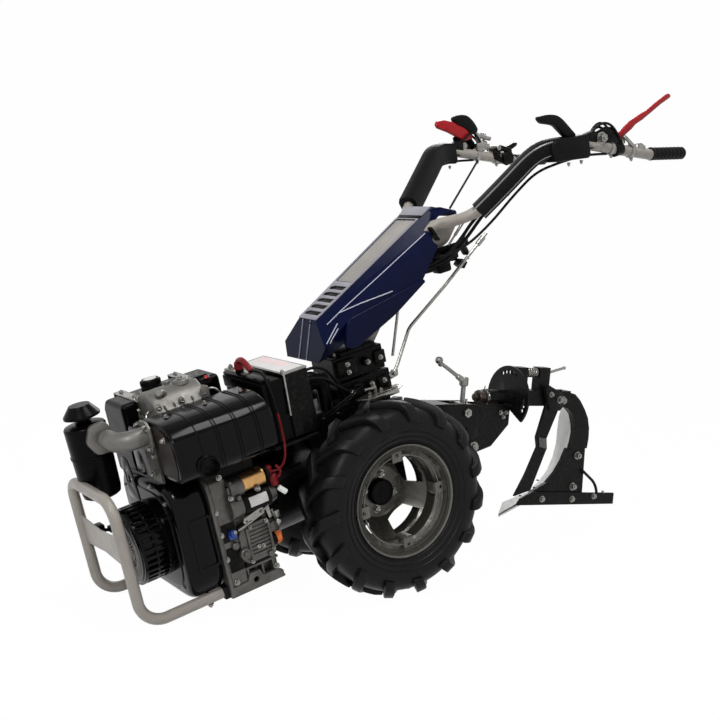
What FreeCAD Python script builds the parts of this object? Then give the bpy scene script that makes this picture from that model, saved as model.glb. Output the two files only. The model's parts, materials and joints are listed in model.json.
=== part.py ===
import FreeCAD, Part
import math
import os
import re

import Sketcher

# Two-wheel walking tractor with a front diesel engine, swinging handlebars and a mounted plough.
# Millimetres. Sizes are written in the machine's own level frame: X forward to the engine, Y to the
# machine's left, Z up, the ground under the wheels at Z 0 and the axle above the origin. Every piece is
# then turned nose-down about the axle, until the bumper's lower bend touches the ground, as it parks.
# The hitch and the plough are written in a second frame, along the plough's shaft.

V = FreeCAD.Vector
DOC = FreeCAD.newDocument("walking_tractor")
SHEET = DOC.addObject("Spreadsheet::Sheet", "Sizes")
NODES = {}

SIZES = {
    # fits
    "touch_gap": 0.3,
    "run_gap": 5,
    "running_fit": 0.08,
    # wheels, 5.00/6.5-12
    "wheel_radius": 295,
    "wheel_centre": 233,
    "tyre_half": 82,
    "tyre_wall": 16,
    "tread_half": 68,
    "bead_radius": 154,
    "bead_half": 59,
    "flange_radius": 167,
    "rim_half": 66,
    "rim_wall": 4,
    "well_radius": 136,
    "well_half": 26,
    "disc_flat": 78,
    "hub_bolt_circle": 107,
    "hub_bolt_hole": 12,
    "hub_flange": 68,
    "hub_flange_thick": 12,
    "hub_nose": 40,
    "hub_nose_length": 26,
    "hub_phase": 21,
    "axle_radius": 17.5,
    "axle_length": 42,
    "axle_end_gap": 2,
    "ear_circle": 270,
    "ear_hole": 11,
    "ear_width": 34,
    "ear_length": 34,
    "ear_thick": 4,
    "ear_inset": 15,
    "ear_phase": 4,
    # transmission
    "case_front": 150,
    "case_rear": -150,
    "case_half": 82,
    "case_top": 560,
    "case_low": 185,
    "sump_half": 60,
    "axle_tube": 45,
    "bell_radius": 122,
    "crank_height": 370,
    "rear_box_half": 55,
    "turret_x": -75,
    "turret_front": 20,
    "turret_rear": -170,
    "turret_half": 72,
    "turret_top": 622,
    "shift_plate_length": 110,
    "shift_plate_thick": 6,
    # engine
    "engine_rear": 375,
    "plate_rear": 480,
    "plate_front": 545,
    "engine_half": 165,
    "plate_half": 188,
    "base_level": 185,
    "block_step": 395,
    "block_upper_half": 128,
    "block_top": 520,
    "plate_top": 545,
    "barrel_rear": 405,
    "barrel_right": -58,
    "barrel_left": 80,
    "barrel_top": 700,
    "head_front": 585,
    "head_rear": 425,
    "head_right": -50,
    "head_left": 79,
    "head_top": 775,
    "shroud_front": 650,
    "shroud_low": 205,
    "shroud_top": 552,
    "shroud_corner": 60,
    "starter_cord_radius": 112,
    "starter_cord_front": 735,
    "grille_radius": 82,
    "grille_depth": 14,
    "tank_rear": 320,
    "tank_front": 632,
    "tank_right": -222,
    "tank_left": -60,
    "tank_low": 520,
    "tank_top": 745,
    "tank_corner": 26,
    "cap_x": 500,
    "cap_y": -145,
    "cap_radius": 29,
    "cap_height": 30,
    "strap_width": 30,
    "strap_thick": 3,
    "strap_rear_x": 385,
    "strap_front_x": 560,
    "muffler_rear": 342,
    "muffler_front": 636,
    "muffler_right": 80,
    "muffler_left": 285,
    "muffler_low": 572,
    "muffler_top": 737,
    "muffler_flat": 205,
    "muffler_drop": 30,
    "tailpipe_x": 560,
    "tailpipe_z": 606,
    "tailpipe_radius": 27,
    "tailpipe_wall": 5,
    "tailpipe_reach": 22,
    "port_thick": 8,
    "port_right": 86,
    "port_left": 156,
    "port_low": 560,
    "port_top": 712,
    "cleaner_x": 721,
    "cleaner_y": -62,
    "cleaner_radius": 59,
    "cleaner_low": 555,
    "cleaner_top": 735,
    "cleaner_spout_y": 30,
    "spout_radius": 31,
    "neck_radius": 19,
    "neck_height": 24,
    "mushroom_radius": 50,
    "mushroom_height": 40,
    "elbow_radius": 27,
    "elbow_z": 694,
    "elbow_y": 121,
    "elbow_bend": 52,
    "motor_y": 177,
    "motor_z": 430,
    "motor_radius": 34,
    "motor_rear": 350,
    "solenoid_y": 183,
    "solenoid_z": 492,
    "solenoid_radius": 26,
    "solenoid_rear": 372,
    "pump_rear": 385,
    "pump_front": 478,
    "pump_low": 245,
    "pump_top": 375,
    "pump_left": 200,
    "filler_y": 148,
    "filler_z": 287,
    "filler_radius": 17,
    "filler_length": 32,
    "battery_rear": 165,
    "battery_front": 312,
    "battery_right": -60,
    "battery_left": 182,
    "battery_low": 552,
    "battery_top": 738,
    "tray_thick": 8,
    "tray_lip": 10,
    "clamp_thick": 5,
    "clamp_x": 205,
    "clamp_half": 42,
    "clamp_rod": 4,
    "post_radius": 12,
    "post_height": 38,
    "post_x": 296,
    "post_y": 30,
    # hose and leads on the chassis
    "hose_radius": 21,
    "hose_y": 64,
    "hose_z": 672,
    "hose_foot_x": 62,
    "lead_radius": 3.5,
    "lead_side_y": 199,
    "loop_radius": 4.5,
    "loop_y": 104,
    "wire_radius": 2.5,

    # bumper
    "bumper_tube": 16,
    "bumper_wall": 2.5,
    "bumper_front": 797,
    "bumper_half": 161,
    "bumper_top": 565,
    "rail_z": 204,
    "bumper_bend": 70,
    "loop_bend": 60,
    "rail_rear": 546,
    "web_low": 372,
    "web_high": 462,
    "web_thick": 4,
    "web_waist": 12,
    # turret head, column and hood
    "head_low": 626,
    "turret_head_top": 700,
    "turret_head_half": 64,
    "pivot_radius": 30,
    "pivot_depth": 40,
    "column_half": 28,
    "hood_wall": 3,
    "hood_open_depth": 60,
    "hood_nose_top_x": 32,
    "hood_nose_top_z": 826,
    "hood_nose_top_half": 50,
    "hood_tail_top_x": -442,
    "hood_tail_top_z": 1056,
    "hood_tail_top_half": 62,
    "hood_nose_side_x": 58,
    "hood_nose_side_z": 756,
    "hood_half": 120,
    "hood_bulge_x": -40,
    "hood_bulge_z": 816,
    "hood_crease_x": -383,
    "hood_crease_z": 995,
    "hood_crease_half": 100,
    "hood_nose_low_x": 74,
    "hood_nose_low_z": 714,
    "hood_nose_low_half": 96,
    "hood_belly_x": -312,
    "hood_belly_z": 849,
    "hood_corner_x": -400,
    "hood_corner_z": 945,
    "hood_lip_x": -510,
    "hood_lip_z": 1022,
    "hood_lip_half": 80,
    # handlebars
    "bar_radius": 14,
    "bar_wall": 2.5,
    "cover_radius": 27,
    "cover_gap": 0.6,
    "grip_radius": 17.5,
    "grip_start_x": -1092,
    "grip_start_z": 1070,
    "grip_end_x": -1255,
    "grip_end_z": 1037,
    "bar_half": 333,
    "bar_high_x": -843,
    "bar_high_z": 1154,
    "bar_bend_x": -680,
    "bar_bend_y": 316,
    "bar_bend_z": 1163,
    "bar_low_x": -508,
    "bar_low_y": 195,
    "bar_low_z": 1018,
    "bar_exit_x": -425,
    "bar_exit_y": 96,
    "bar_exit_z": 1008,
    "bar_root_x": -345,
    "bar_root_z": 962,
    "lever_thick": 14,
    "lever_clamp_x": -960,
    "lever_clamp_length": 60,
    "lever_pivot_z": 1149,
    "lever_tip_x": -1225,
    "lever_tip_z": 1223,
    "short_root_x": -886,
    "short_tip_x": -796,
    "short_tip_z": 1266,
    "thumb_root_x": -800,
    "thumb_right_x": -984,
    "thumb_foot": 12,
    "thumb_reach": 124,
    "thumb_rise": 74,
    "thumb_neck": 40,
    "cable_radius": 4,
    "switch_x": -545,
    "switch_z": 846,
    "switch_size": 32,
    "rod_radius": 5,
    # hitch frame: its origin on the plough's shaft at the lock disc, X forward along the shaft
    "hitch_x": -651,
    "hitch_z": 354,
    "hitch_tilt": 18.7,
    "bracket_front": 300,
    "bracket_rear": 160,
    "bracket_top": -17,
    "bracket_low": -95,
    "bracket_half": 50,
    "coupling_half": 38,
    "coupling_wall": 8,
    "shaft_radius": 17,
    "shaft_front": 150,
    "tube_radius": 25,
    "tube_front": 90,
    "nut_radius": 24,
    "nut_front": 132,
    "disc_radius": 106,
    "disc_thick": 8,
    "pin_height": 85,
    "pin_radius": 6,
    "lock_hole": 7,
    "beam_half": 26,
    "beam_front": -14,
    "beam_rear": -256,
    "neck_half": 12,
    "lug_half": 20,
    "pin_end": -171,
    "handle_end": -237,
    "coulter_half": 6,
    "frog_half": 8,
    "landside_thick": 10,
    "landside_rear": -520,
    "share_reach": 100,
    "share_thick": 10,
    "sole_level": -383,
    "mould_middle": 120,
    "mould_reach": 200,
    "mould_thick": 6,
    "brace_radius": 5,
    "window_inner": 90,
    "window_outer": 127,
    "window_phase": 66,
    "crank_screw": 9,
    "screw_x": 192,
    "ball_radius": 12,
    "knuckle_z": 50,
    "ball_x": 299,
    "ball_z": 118,
}


def fill_sheet():
    """Write every driving size into the sheet as a plain number with its alias."""
    for row, (alias, value) in enumerate(SIZES.items(), start=1):
        cell = f"A{row}"
        SHEET.set(cell, str(value))
        SHEET.setAlias(cell, alias)
    DOC.recompute()


def bind(text):
    """Return an expression with each size name pointed at the sheet."""
    return re.sub(r"[a-z][a-z_]+", lambda m: "Sizes." + m[0] if m[0] in SIZES else m[0], str(text))


def value(text):
    """Return the number that an expression of sizes gives."""
    return float(SHEET.evalExpression(bind(text).replace("Sizes.", "")))


def point(triple):
    """Return a vector from three expressions."""
    return V(*(value(text) for text in triple))


def fix(thing, prop, text):
    """Bind one property of an object to an expression of sizes."""
    thing.setExpression(prop, bind(text))


# ---------------------------------------------------------------- solids

def plane_of(body, name):
    """Return one of the body's own origin planes."""
    return next(item for item in body.Origin.OriginFeatures if item.Role == name + "_Plane")


def sketch(body, name, plane, offset, points=(), circles=()):
    """Sketch a closed outline through pairs of expressions, and circles given as (x, y, radius)."""
    drawing = body.newObject("Sketcher::SketchObject", name)
    drawing.AttachmentSupport = [(plane_of(body, plane), "")]
    drawing.MapMode = "FlatFace"
    for axis, text in zip("xyz", offset):
        fix(drawing, "AttachmentOffset.Base." + axis, text)
    corners = [(value(a), value(b)) for a, b in points]
    count = len(corners)
    for index in range(count):
        start, end = corners[index], corners[(index + 1) % count]
        drawing.addGeometry(Part.LineSegment(V(*start, 0), V(*end, 0)), False)
    for index in range(count):
        drawing.addConstraint(Sketcher.Constraint("Coincident", index, 2, (index + 1) % count, 1))
    for index, pair in enumerate(points):
        for kind, text, number in zip(("DistanceX", "DistanceY"), pair, corners[index]):
            row = drawing.addConstraint(Sketcher.Constraint(kind, -1, 1, index, 1, number))
            fix(drawing, f"Constraints[{row}]", text)
    for across, up, radius in circles:
        centre = (value(across), value(up))
        shape = drawing.addGeometry(Part.Circle(V(*centre, 0), V(0, 0, 1), value(radius)), False)
        row = drawing.addConstraint(Sketcher.Constraint("Radius", shape, value(radius)))
        fix(drawing, f"Constraints[{row}]", radius)
        for kind, text, number in zip(("DistanceX", "DistanceY"), (across, up), centre):
            row = drawing.addConstraint(Sketcher.Constraint(kind, -1, 1, shape, 3, number))
            fix(drawing, f"Constraints[{row}]", text)
    return drawing


def start_offset(plane, low, high):
    """Return the sketch offset from which a pad runs from low to high, with the XZ plane facing -Y."""
    return ("0", "0", f"-({high})") if plane == "XZ" else ("0", "0", low)


def pad(body, name, plane, low, high, points=(), circles=()):
    """Pad an outline between two levels along the plane's axis."""
    feature = body.newObject("PartDesign::Pad", name)
    feature.Profile = sketch(body, name + "_outline", plane, start_offset(plane, low, high), points, circles)
    fix(feature, "Length", f"({high}) - ({low})")
    return feature


def pocket(body, name, plane, low, high, points=(), circles=()):
    """Cut an outline out between two levels along the plane's axis."""
    feature = body.newObject("PartDesign::Pocket", name)
    feature.Profile = sketch(body, name + "_outline", plane, start_offset(plane, low, high), points, circles)
    feature.Reversed = True
    fix(feature, "Length", f"({high}) - ({low})")
    return feature


def slab(name, plane, low, high, points=(), circles=()):
    """Return a body that is one padded outline."""
    body = DOC.addObject("PartDesign::Body", name)
    pad(body, name + "_pad", plane, low, high, points, circles)
    return body


def turned(name, axis, centre, points):
    """Return a body turned about a line along X, Y or Z. Points are (along, radius), or (radius, z)."""
    body = DOC.addObject("PartDesign::Body", name)
    first, second = centre
    offsets = {"X": ("XZ", ("0", second, f"-({first})")), "Y": ("YZ", ("0", second, first)),
               "Z": ("XZ", (first, "0", f"-({second})"))}
    plane, offset = offsets[axis]
    outline = sketch(body, name + "_profile", plane, offset, points)
    turn = body.newObject("PartDesign::Revolution", name + "_turn")
    turn.Profile = outline
    turn.ReferenceAxis = (outline, ["V_Axis" if axis == "Z" else "H_Axis"])
    turn.Angle = 360
    return body


def repeat(body, name, features, axis_sketch, count):
    """Repeat features of a body evenly about a sketch's horizontal axis."""
    pattern = body.newObject("PartDesign::PolarPattern", name)
    pattern.Originals = features
    pattern.Axis = (axis_sketch, ["H_Axis"])
    pattern.Angle = 360
    pattern.Occurrences = count
    body.Tip = pattern
    return pattern


def box(name, low, high):
    """Return a box between two corners given as expressions."""
    solid = DOC.addObject("Part::Box", name)
    for prop, axis, start, end in zip(("Length", "Width", "Height"), "xyz", low, high):
        fix(solid, prop, f"({end}) - ({start})")
        fix(solid, "Placement.Base." + axis, start)
    return solid


def rod(name, axis, centre, radius, low, high):
    """Return a round bar along X, Y or Z. The centre gives the other two coordinates in order."""
    solid = DOC.addObject("Part::Cylinder", name)
    turns = {"X": FreeCAD.Rotation(V(0, 1, 0), 90), "Y": FreeCAD.Rotation(V(1, 0, 0), -90),
             "Z": FreeCAD.Rotation()}
    solid.Placement = FreeCAD.Placement(V(), turns[axis])
    others = [letter for letter in "XYZ" if letter != axis]
    fix(solid, "Radius", radius)
    fix(solid, "Height", f"({high}) - ({low})")
    fix(solid, "Placement.Base." + axis.lower(), low)
    for letter, text in zip(others, centre):
        fix(solid, "Placement.Base." + letter.lower(), text)
    return solid


def ball(name, centre, radius):
    """Return a sphere."""
    solid = DOC.addObject("Part::Sphere", name)
    fix(solid, "Radius", radius)
    for axis, text in zip("xyz", centre):
        fix(solid, "Placement.Base." + axis, text)
    return solid


def join(name, pieces):
    """Fuse pieces into one solid."""
    fused = DOC.addObject("Part::MultiFuse", name)
    fused.Shapes = pieces
    return fused


def cut(name, base, *tools):
    """Cut tools out of a base, one after another."""
    for index, tool in enumerate(tools):
        last = index == len(tools) - 1
        step = DOC.addObject("Part::Cut", name if last else f"{name}_cut_{index}")
        step.Base, step.Tool = base, tool
        base = step
    return base


def route(name, points, bends):
    """Return a path of straight runs joined by tangent arcs, one bend radius for each inner point."""
    corners = [point(triple) for triple in points]
    edges, start = [], corners[0]
    for before, here, after, bend in zip(corners, corners[1:], corners[2:], bends):
        back, ahead = (before - here).normalize(), (after - here).normalize()
        half = back.getAngle(ahead) / 2
        radius = value(bend)
        reach = radius / math.tan(half)
        middle = here + (back + ahead).normalize() * (radius / math.sin(half) - radius)
        edges.append(Part.LineSegment(start, here + back * reach).toShape())
        edges.append(Part.Arc(here + back * reach, middle, here + ahead * reach).toShape())
        start = here + ahead * reach
    edges.append(Part.LineSegment(start, corners[-1]).toShape())
    path = DOC.addObject("Part::Feature", name)
    path.Shape = Part.Wire(edges)
    return path


def tube(name, path, radius):
    """Sweep a round section along a path."""
    section = DOC.addObject("Part::Circle", name + "_section")
    fix(section, "Radius", radius)
    first = path.Shape.Edges[0]
    start = first.valueAt(first.FirstParameter)
    ahead = first.tangentAt(first.FirstParameter)
    section.Placement = FreeCAD.Placement(start, FreeCAD.Rotation(V(0, 0, 1), ahead))
    swept = DOC.addObject("Part::Sweep", name)
    swept.Sections = [section]
    swept.Spine = (path, [])
    swept.Solid = True
    swept.Frenet = False
    return swept


def easy_bends(points):
    """Return the largest even bend radius for each inner point of a path, from the shorter of its two runs."""
    corners = [point(triple) for triple in points]
    bends = []
    for before, here, after in zip(corners, corners[1:], corners[2:]):
        back, ahead = before - here, after - here
        bends.append(0.45 * min(back.Length, ahead.Length) * math.tan(back.getAngle(ahead) / 2))
    return bends


def leads(name, radius, runs):
    """Return round leads of one radius, each along its own points, with its bends as easy as they fit."""
    tubes = [tube(f"{name}_{index}", route(f"{name}_path_{index}", points, easy_bends(points)), radius)
             for index, points in enumerate(runs)]
    if len(tubes) == 1:
        return tubes[0]
    group = DOC.addObject("Part::Compound", name)
    group.Links = tubes
    return group


# ---------------------------------------------------------------- how it stands

def pitch_angle():
    """Return the nose-down angle in degrees that brings the bumper's lower bend to the ground.

    The bend's centre lies ahead of the axle by reach and above it by rise. Turned down by the angle a,
    its height is radius - reach sin a + rise cos a, and that has to be the bend's outer radius.
    """
    reach = value("bumper_front - bumper_bend")
    rise = value("rail_z + bumper_bend - wheel_radius")
    drop = value("wheel_radius - bumper_bend - bumper_tube")
    return math.degrees(math.asin(drop / math.hypot(reach, rise)) + math.atan2(rise, reach))


def stand(name, thing, frame="machine"):
    """Register a node and place it from its own frame into the standing machine's frame."""
    thing.Label = name
    turn, base_x, base_z = "pitch", "-wheel_radius * sin(pitch)", "wheel_radius * (1 - cos(pitch))"
    if frame == "plough":
        turn = "pitch - hitch_tilt"
        base_x += " + hitch_x * cos(pitch) + hitch_z * sin(pitch)"
        base_z += " - hitch_x * sin(pitch) + hitch_z * cos(pitch)"
    thing.Placement = FreeCAD.Placement(V(), FreeCAD.Rotation(V(0, 1, 0), 1))
    fix(thing, "Placement.Rotation.Angle", f"({turn}) * 1 deg")
    fix(thing, "Placement.Base.x", base_x + " - middle_x")
    fix(thing, "Placement.Base.z", base_z)
    NODES[name] = thing
    return thing


def side_of(side):
    """Return the sign of the machine's left or right side, as text for expressions."""
    return "1" if side == "left" else "-1"


# ---------------------------------------------------------------- wheels

def tyre(side):
    """Return a farm tyre's casing out to the top of its lugs, hollow down to the beads."""
    sign = side_of(side)
    across = [("-bead_half", "bead_radius"), ("-bead_half", "bead_radius + 12"), ("-tyre_half", "215"),
              ("-tyre_half", "250"), ("-tread_half", "wheel_radius - 12"), ("-tread_half / 2", "wheel_radius"),
              ("tread_half / 2", "wheel_radius"), ("tread_half", "wheel_radius - 12"), ("tyre_half", "250"),
              ("tyre_half", "215"), ("bead_half", "bead_radius + 12"), ("bead_half", "bead_radius"),
              ("bead_half - 12", "bead_radius"), ("bead_half - 12", "bead_radius + 12"),
              ("tyre_half - tyre_wall", "218"), ("tyre_half - tyre_wall", "243"),
              ("tread_half - tyre_wall", "wheel_radius - 12 - tyre_wall"),
              ("-tread_half + tyre_wall", "wheel_radius - 12 - tyre_wall"),
              ("-tyre_half + tyre_wall", "243"), ("-tyre_half + tyre_wall", "218"),
              ("-bead_half + 12", "bead_radius + 12"), ("-bead_half + 12", "bead_radius")]
    points = [(f"{sign} * (wheel_centre + {y})", r) for y, r in across]
    stand(f"tyre_{side}", turned(f"tyre_{side}", "Y", ("0", "wheel_radius"), points))


def rim(side):
    """Return a drop-centre rim with its dished disc, four hub bolt holes and four bracket ears."""
    sign = side_of(side)
    face = "wheel_centre - tyre_half + 1"
    outer = [("-rim_half", "flange_radius"), ("-rim_half + 4", "flange_radius"),
             ("-bead_half - 0.4", "bead_radius - touch_gap"), ("-bead_half + 19", "bead_radius - touch_gap"),
             ("-well_half", "well_radius"), ("well_half", "well_radius"),
             ("bead_half - 19", "bead_radius - touch_gap"), ("bead_half + 0.4", "bead_radius - touch_gap"),
             ("rim_half - 4", "flange_radius"), ("rim_half", "flange_radius"), ("rim_half", "flange_radius - 4"),
             ("bead_half + 3", "bead_radius - rim_wall"), ("bead_half - 17", "bead_radius - rim_wall"),
             ("well_half + 2", "well_radius - rim_wall"), ("-well_half + 14", "well_radius - rim_wall")]
    dish = [(f"{face} + 14", "disc_flat + 8"), (f"{face} + 4", "disc_flat"),
            (f"{face} + 4", "hub_nose + touch_gap"), (face, "hub_nose + touch_gap"), (face, "disc_flat + 2"),
            (f"{face} + 10", "disc_flat + 12")]
    back = [("-well_half + 6", "well_radius - rim_wall"), ("-well_half - 2", "well_radius - rim_wall"),
            ("-bead_half + 17", "bead_radius - rim_wall"), ("-bead_half - 3", "bead_radius - rim_wall"),
            ("-rim_half", "flange_radius - 4")]
    points = [(f"{sign} * (wheel_centre + {y})", r) for y, r in outer]
    points += [(f"{sign} * ({y})", r) for y, r in dish]
    points += [(f"{sign} * (wheel_centre + {y})", r) for y, r in back]
    body = turned(f"rim_{side}", "Y", ("0", "wheel_radius"), points)
    axis = body.Group[0]
    bolt = ("hub_bolt_circle / 2 * cos(hub_phase)", "wheel_radius + hub_bolt_circle / 2 * sin(hub_phase)",
            "hub_bolt_hole / 2")
    low, high = sorted((f"{sign} * ({face} - 5)", f"{sign} * ({face} + 9)"), key=value)
    holes = pocket(body, "hub_bolt", "XZ", low, high, circles=[bolt])
    repeat(body, "hub_bolts", [holes], axis, 4)
    near, far = "window_inner", "window_outer"
    spots = [(near, -22), (near, 22), (f"{far} - 2", 26), (far, 12), (far, -12), (f"{far} - 2", -26)]
    lens = [(f"({out}) * cos(window_phase + {turn})", f"wheel_radius + ({out}) * sin(window_phase + {turn})")
            for out, turn in spots]
    low, high = sorted((f"{sign} * ({face} - 5)", f"{sign} * (wheel_centre - well_half + 19)"), key=value)
    window = pocket(body, "window", "XZ", low, high, lens)
    repeat(body, "windows", [window], axis, 4)
    plane = "wheel_centre + rim_half - ear_inset"
    low, high = sorted((f"{sign} * ({plane})", f"{sign} * ({plane} - ear_thick)"), key=value)
    ray = ("cos(ear_phase)", "sin(ear_phase)")
    corners = [("bead_radius - rim_wall + 2", "-ear_width / 2"), ("bead_radius - rim_wall + 2", "ear_width / 2"),
               ("bead_radius - rim_wall - ear_length", "ear_width / 2"),
               ("bead_radius - rim_wall - ear_length", "-ear_width / 2")]
    outline = [(f"({out}) * {ray[0]} - ({along}) * {ray[1]}",
                f"wheel_radius + ({out}) * {ray[1]} + ({along}) * {ray[0]}") for out, along in corners]
    ear = pad(body, "ear", "XZ", low, high, outline)
    hole = ("ear_circle / 2 * cos(ear_phase)", "wheel_radius + ear_circle / 2 * sin(ear_phase)", "ear_hole / 2")
    bore = pocket(body, "ear_bore", "XZ", f"{low} - 5", f"{high} + 5", circles=[hole])
    repeat(body, "ears", [ear, bore], axis, 4)
    stand(f"rim_{side}", body)


def hub(side):
    """Return the hub flange with its nose and the axle shaft that turns in the transmission."""
    sign = side_of(side)
    face = "wheel_centre - tyre_half + 1"
    profile = [(f"{face} - hub_flange_thick - axle_length", "0"),
               (f"{face} - hub_flange_thick - axle_length", "axle_radius"),
               (f"{face} - hub_flange_thick", "axle_radius"), (f"{face} - hub_flange_thick", "hub_flange"),
               (face, "hub_flange"), (face, "hub_nose"), (f"{face} + hub_nose_length - 4", "hub_nose"),
               (f"{face} + hub_nose_length", "hub_nose - 4"), (f"{face} + hub_nose_length", "0")]
    points = [(f"{sign} * ({y})", r) for y, r in profile]
    stand(f"hub_{side}", turned(f"hub_{side}", "Y", ("0", "wheel_radius"), points))


# ---------------------------------------------------------------- transmission and engine

def transmission():
    """Return the gearbox with its axle tubes, clutch bell and rear box."""
    tube_end = "wheel_centre - tyre_half + 1 - hub_flange_thick - run_gap"
    side = slab("case_body", "XZ", "-case_half", "case_half",
                [("case_front", "case_top"), ("case_rear", "case_top"), ("case_rear", "case_low + 70"),
                 ("-sump_half", "case_low"), ("sump_half", "case_low"), ("case_front", "case_low + 70")])
    rear = slab("rear_box", "XZ", "-rear_box_half", "rear_box_half",
                [("case_rear", "case_top - 60"), ("case_rear", "case_top - 220"),
                 ("hitch_x + bracket_front * cos(hitch_tilt) - (bracket_low) * sin(hitch_tilt)",
                  "hitch_z + bracket_front * sin(hitch_tilt) + (bracket_low) * cos(hitch_tilt)"),
                 ("hitch_x + bracket_front * cos(hitch_tilt) - (bracket_top) * sin(hitch_tilt)",
                  "hitch_z + bracket_front * sin(hitch_tilt) + (bracket_top) * cos(hitch_tilt)")])
    axle = rod("axle_tubes", "Y", ("0", "wheel_radius"), "axle_tube", f"-({tube_end})", tube_end)
    bell = rod("clutch_bell", "X", ("0", "crank_height"), "bell_radius", "case_front", "engine_rear")
    whole = join("case_solid", [side, rear, axle, bell])
    deep = f"({tube_end}) + run_gap - axle_length - axle_end_gap"
    bores = [rod("bore_left", "Y", ("0", "wheel_radius"), "axle_radius + running_fit", deep, tube_end),
             rod("bore_right", "Y", ("0", "wheel_radius"), "axle_radius + running_fit",
                 f"-({tube_end})", f"-({deep})")]
    stand("transmission_case", cut("transmission_case", whole, *bores))
    base = box("turret_block", ("turret_rear", "-turret_half", "case_top"),
               ("turret_front", "turret_half", "turret_top"))
    socket = rod("turret_bore", "Z", ("turret_x", "0"), "pivot_radius + running_fit",
                 "turret_top - pivot_depth", "turret_top")
    stand("turret_base", cut("turret_base", base, socket))
    stand("shift_plate", slab("shift_plate", "XY", "case_top", "case_top + shift_plate_thick",
                              [("-shift_plate_length - 40", "turret_half"), ("-40", "turret_half"),
                               ("-40", "case_half + 45"), ("-shift_plate_length - 40", "case_half + 45")]))


def engine():
    """Return the crankcase with its flywheel plate and barrel, the head and the cooling shroud."""
    crankcase = slab("crankcase", "YZ", "engine_rear", "plate_rear",
                     [("-engine_half", "base_level"), ("engine_half", "base_level"),
                      ("engine_half", "block_step - 15"), ("block_upper_half", "block_step"),
                      ("block_upper_half", "block_top"), ("-engine_half", "block_top")])
    plate = slab("flywheel_plate", "YZ", "plate_rear", "plate_front",
                 [("-plate_half", "base_level + 20"), ("-engine_half", "base_level"),
                  ("engine_half", "base_level"), ("plate_half", "base_level + 20"), ("plate_half", "plate_top"),
                  ("tank_left + strap_thick", "plate_top"), ("tank_left + strap_thick", "block_top"),
                  ("-plate_half", "block_top")])
    barrel = box("barrel", ("barrel_rear", "barrel_right", "block_top"),
                 ("plate_front", "barrel_left", "barrel_top"))
    stand("engine_block", join("engine_block", [crankcase, plate, barrel]))
    stand("cylinder_head", slab("cylinder_head", "XZ", "head_right", "head_left",
                                [("head_rear", "barrel_top"), ("head_front", "barrel_top"),
                                 ("head_front", "head_top - 22"), ("head_front - 30", "head_top"),
                                 ("head_rear + 10", "head_top"), ("head_rear", "head_top - 12")]))
    stand("fan_shroud", slab("fan_shroud", "YZ", "plate_front", "shroud_front",
                             [("-plate_half", "shroud_low + shroud_corner"),
                              ("-plate_half + shroud_corner", "shroud_low"),
                              ("plate_half - shroud_corner", "shroud_low"),
                              ("plate_half", "shroud_low + shroud_corner"),
                              ("plate_half", "shroud_top - 30"), ("plate_half - 30", "shroud_top"),
                              ("tank_left + strap_thick", "shroud_top"), ("tank_left + strap_thick", "tank_low"),
                              ("-plate_half", "tank_low")]))
    stand("recoil_starter", turned("recoil_starter", "X", ("0", "crank_height"),
                                   [("shroud_front", "0"), ("shroud_front", "starter_cord_radius"),
                                    ("starter_cord_front - 8", "starter_cord_radius"),
                                    ("starter_cord_front", "starter_cord_radius - 8"),
                                    ("starter_cord_front", "grille_radius"),
                                    ("starter_cord_front - grille_depth", "grille_radius - 6"),
                                    ("starter_cord_front - grille_depth", "0")]))


def fuel_system():
    """Return the fuel tank with its cap and the two straps that hold it."""
    tank = slab("fuel_tank", "YZ", "tank_rear", "tank_front",
                [("tank_left", "tank_low"), ("tank_left", "tank_top"), ("tank_right + tank_corner", "tank_top"),
                 ("tank_right", "tank_top - tank_corner"), ("tank_right", "tank_low")])
    stand("fuel_tank", tank)
    copy = slab("tank_form", "YZ", "tank_rear", "tank_front",
                [("tank_left", "tank_low"), ("tank_left", "tank_top"), ("tank_right + tank_corner", "tank_top"),
                 ("tank_right", "tank_top - tank_corner"), ("tank_right", "tank_low")])
    bands = []
    for place in ("rear", "front"):
        bands.append(slab(f"band_{place}", "YZ", f"strap_{place}_x", f"strap_{place}_x + strap_width",
                          [("tank_left + strap_thick - 1", "tank_low"),
                           ("tank_left + strap_thick - 1", "tank_top + strap_thick"),
                           ("tank_right + tank_corner", "tank_top + strap_thick"),
                           ("tank_right - strap_thick", "tank_top - tank_corner"),
                           ("tank_right - strap_thick", "tank_low")]))
    pair = DOC.addObject("Part::Compound", "bands")
    pair.Links = bands
    stand("tank_straps", cut("tank_straps", pair, copy))
    stand("fuel_cap", turned("fuel_cap", "Z", ("cap_x", "cap_y"),
                             [("0", "tank_top"), ("cap_radius - 6", "tank_top"),
                              ("cap_radius - 6", "tank_top + 10"), ("cap_radius", "tank_top + 10"),
                              ("cap_radius", "tank_top + cap_height - 4"),
                              ("cap_radius - 4", "tank_top + cap_height"), ("0", "tank_top + cap_height")]))


def exhaust():
    """Return the muffler under its ribbed shield, the open tailpipe and the port plate."""
    profile = [("muffler_right", "muffler_low"), ("muffler_left", "muffler_low"),
               ("muffler_left", "muffler_top - muffler_drop"), ("muffler_flat", "muffler_top"),
               ("muffler_right", "muffler_top")]
    shell = slab("muffler_shell", "YZ", "muffler_rear", "muffler_front", profile)
    pipe = rod("tailpipe_round", "Y", ("tailpipe_x", "tailpipe_z"), "tailpipe_radius",
               "muffler_left - 40", "muffler_left + tailpipe_reach")
    bore = rod("tailpipe_bore", "Y", ("tailpipe_x", "tailpipe_z"), "tailpipe_radius - tailpipe_wall",
               "muffler_left - 60", "muffler_left + tailpipe_reach")
    stand("muffler", cut("muffler", join("muffler_whole", [shell, pipe]), bore))
    stand("port_plate", slab("port_plate", "YZ", "muffler_front", "muffler_front + port_thick",
                             [("port_right", "port_low"), ("port_left", "port_low"), ("port_left", "port_top"),
                              ("port_right", "port_top")]))


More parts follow.
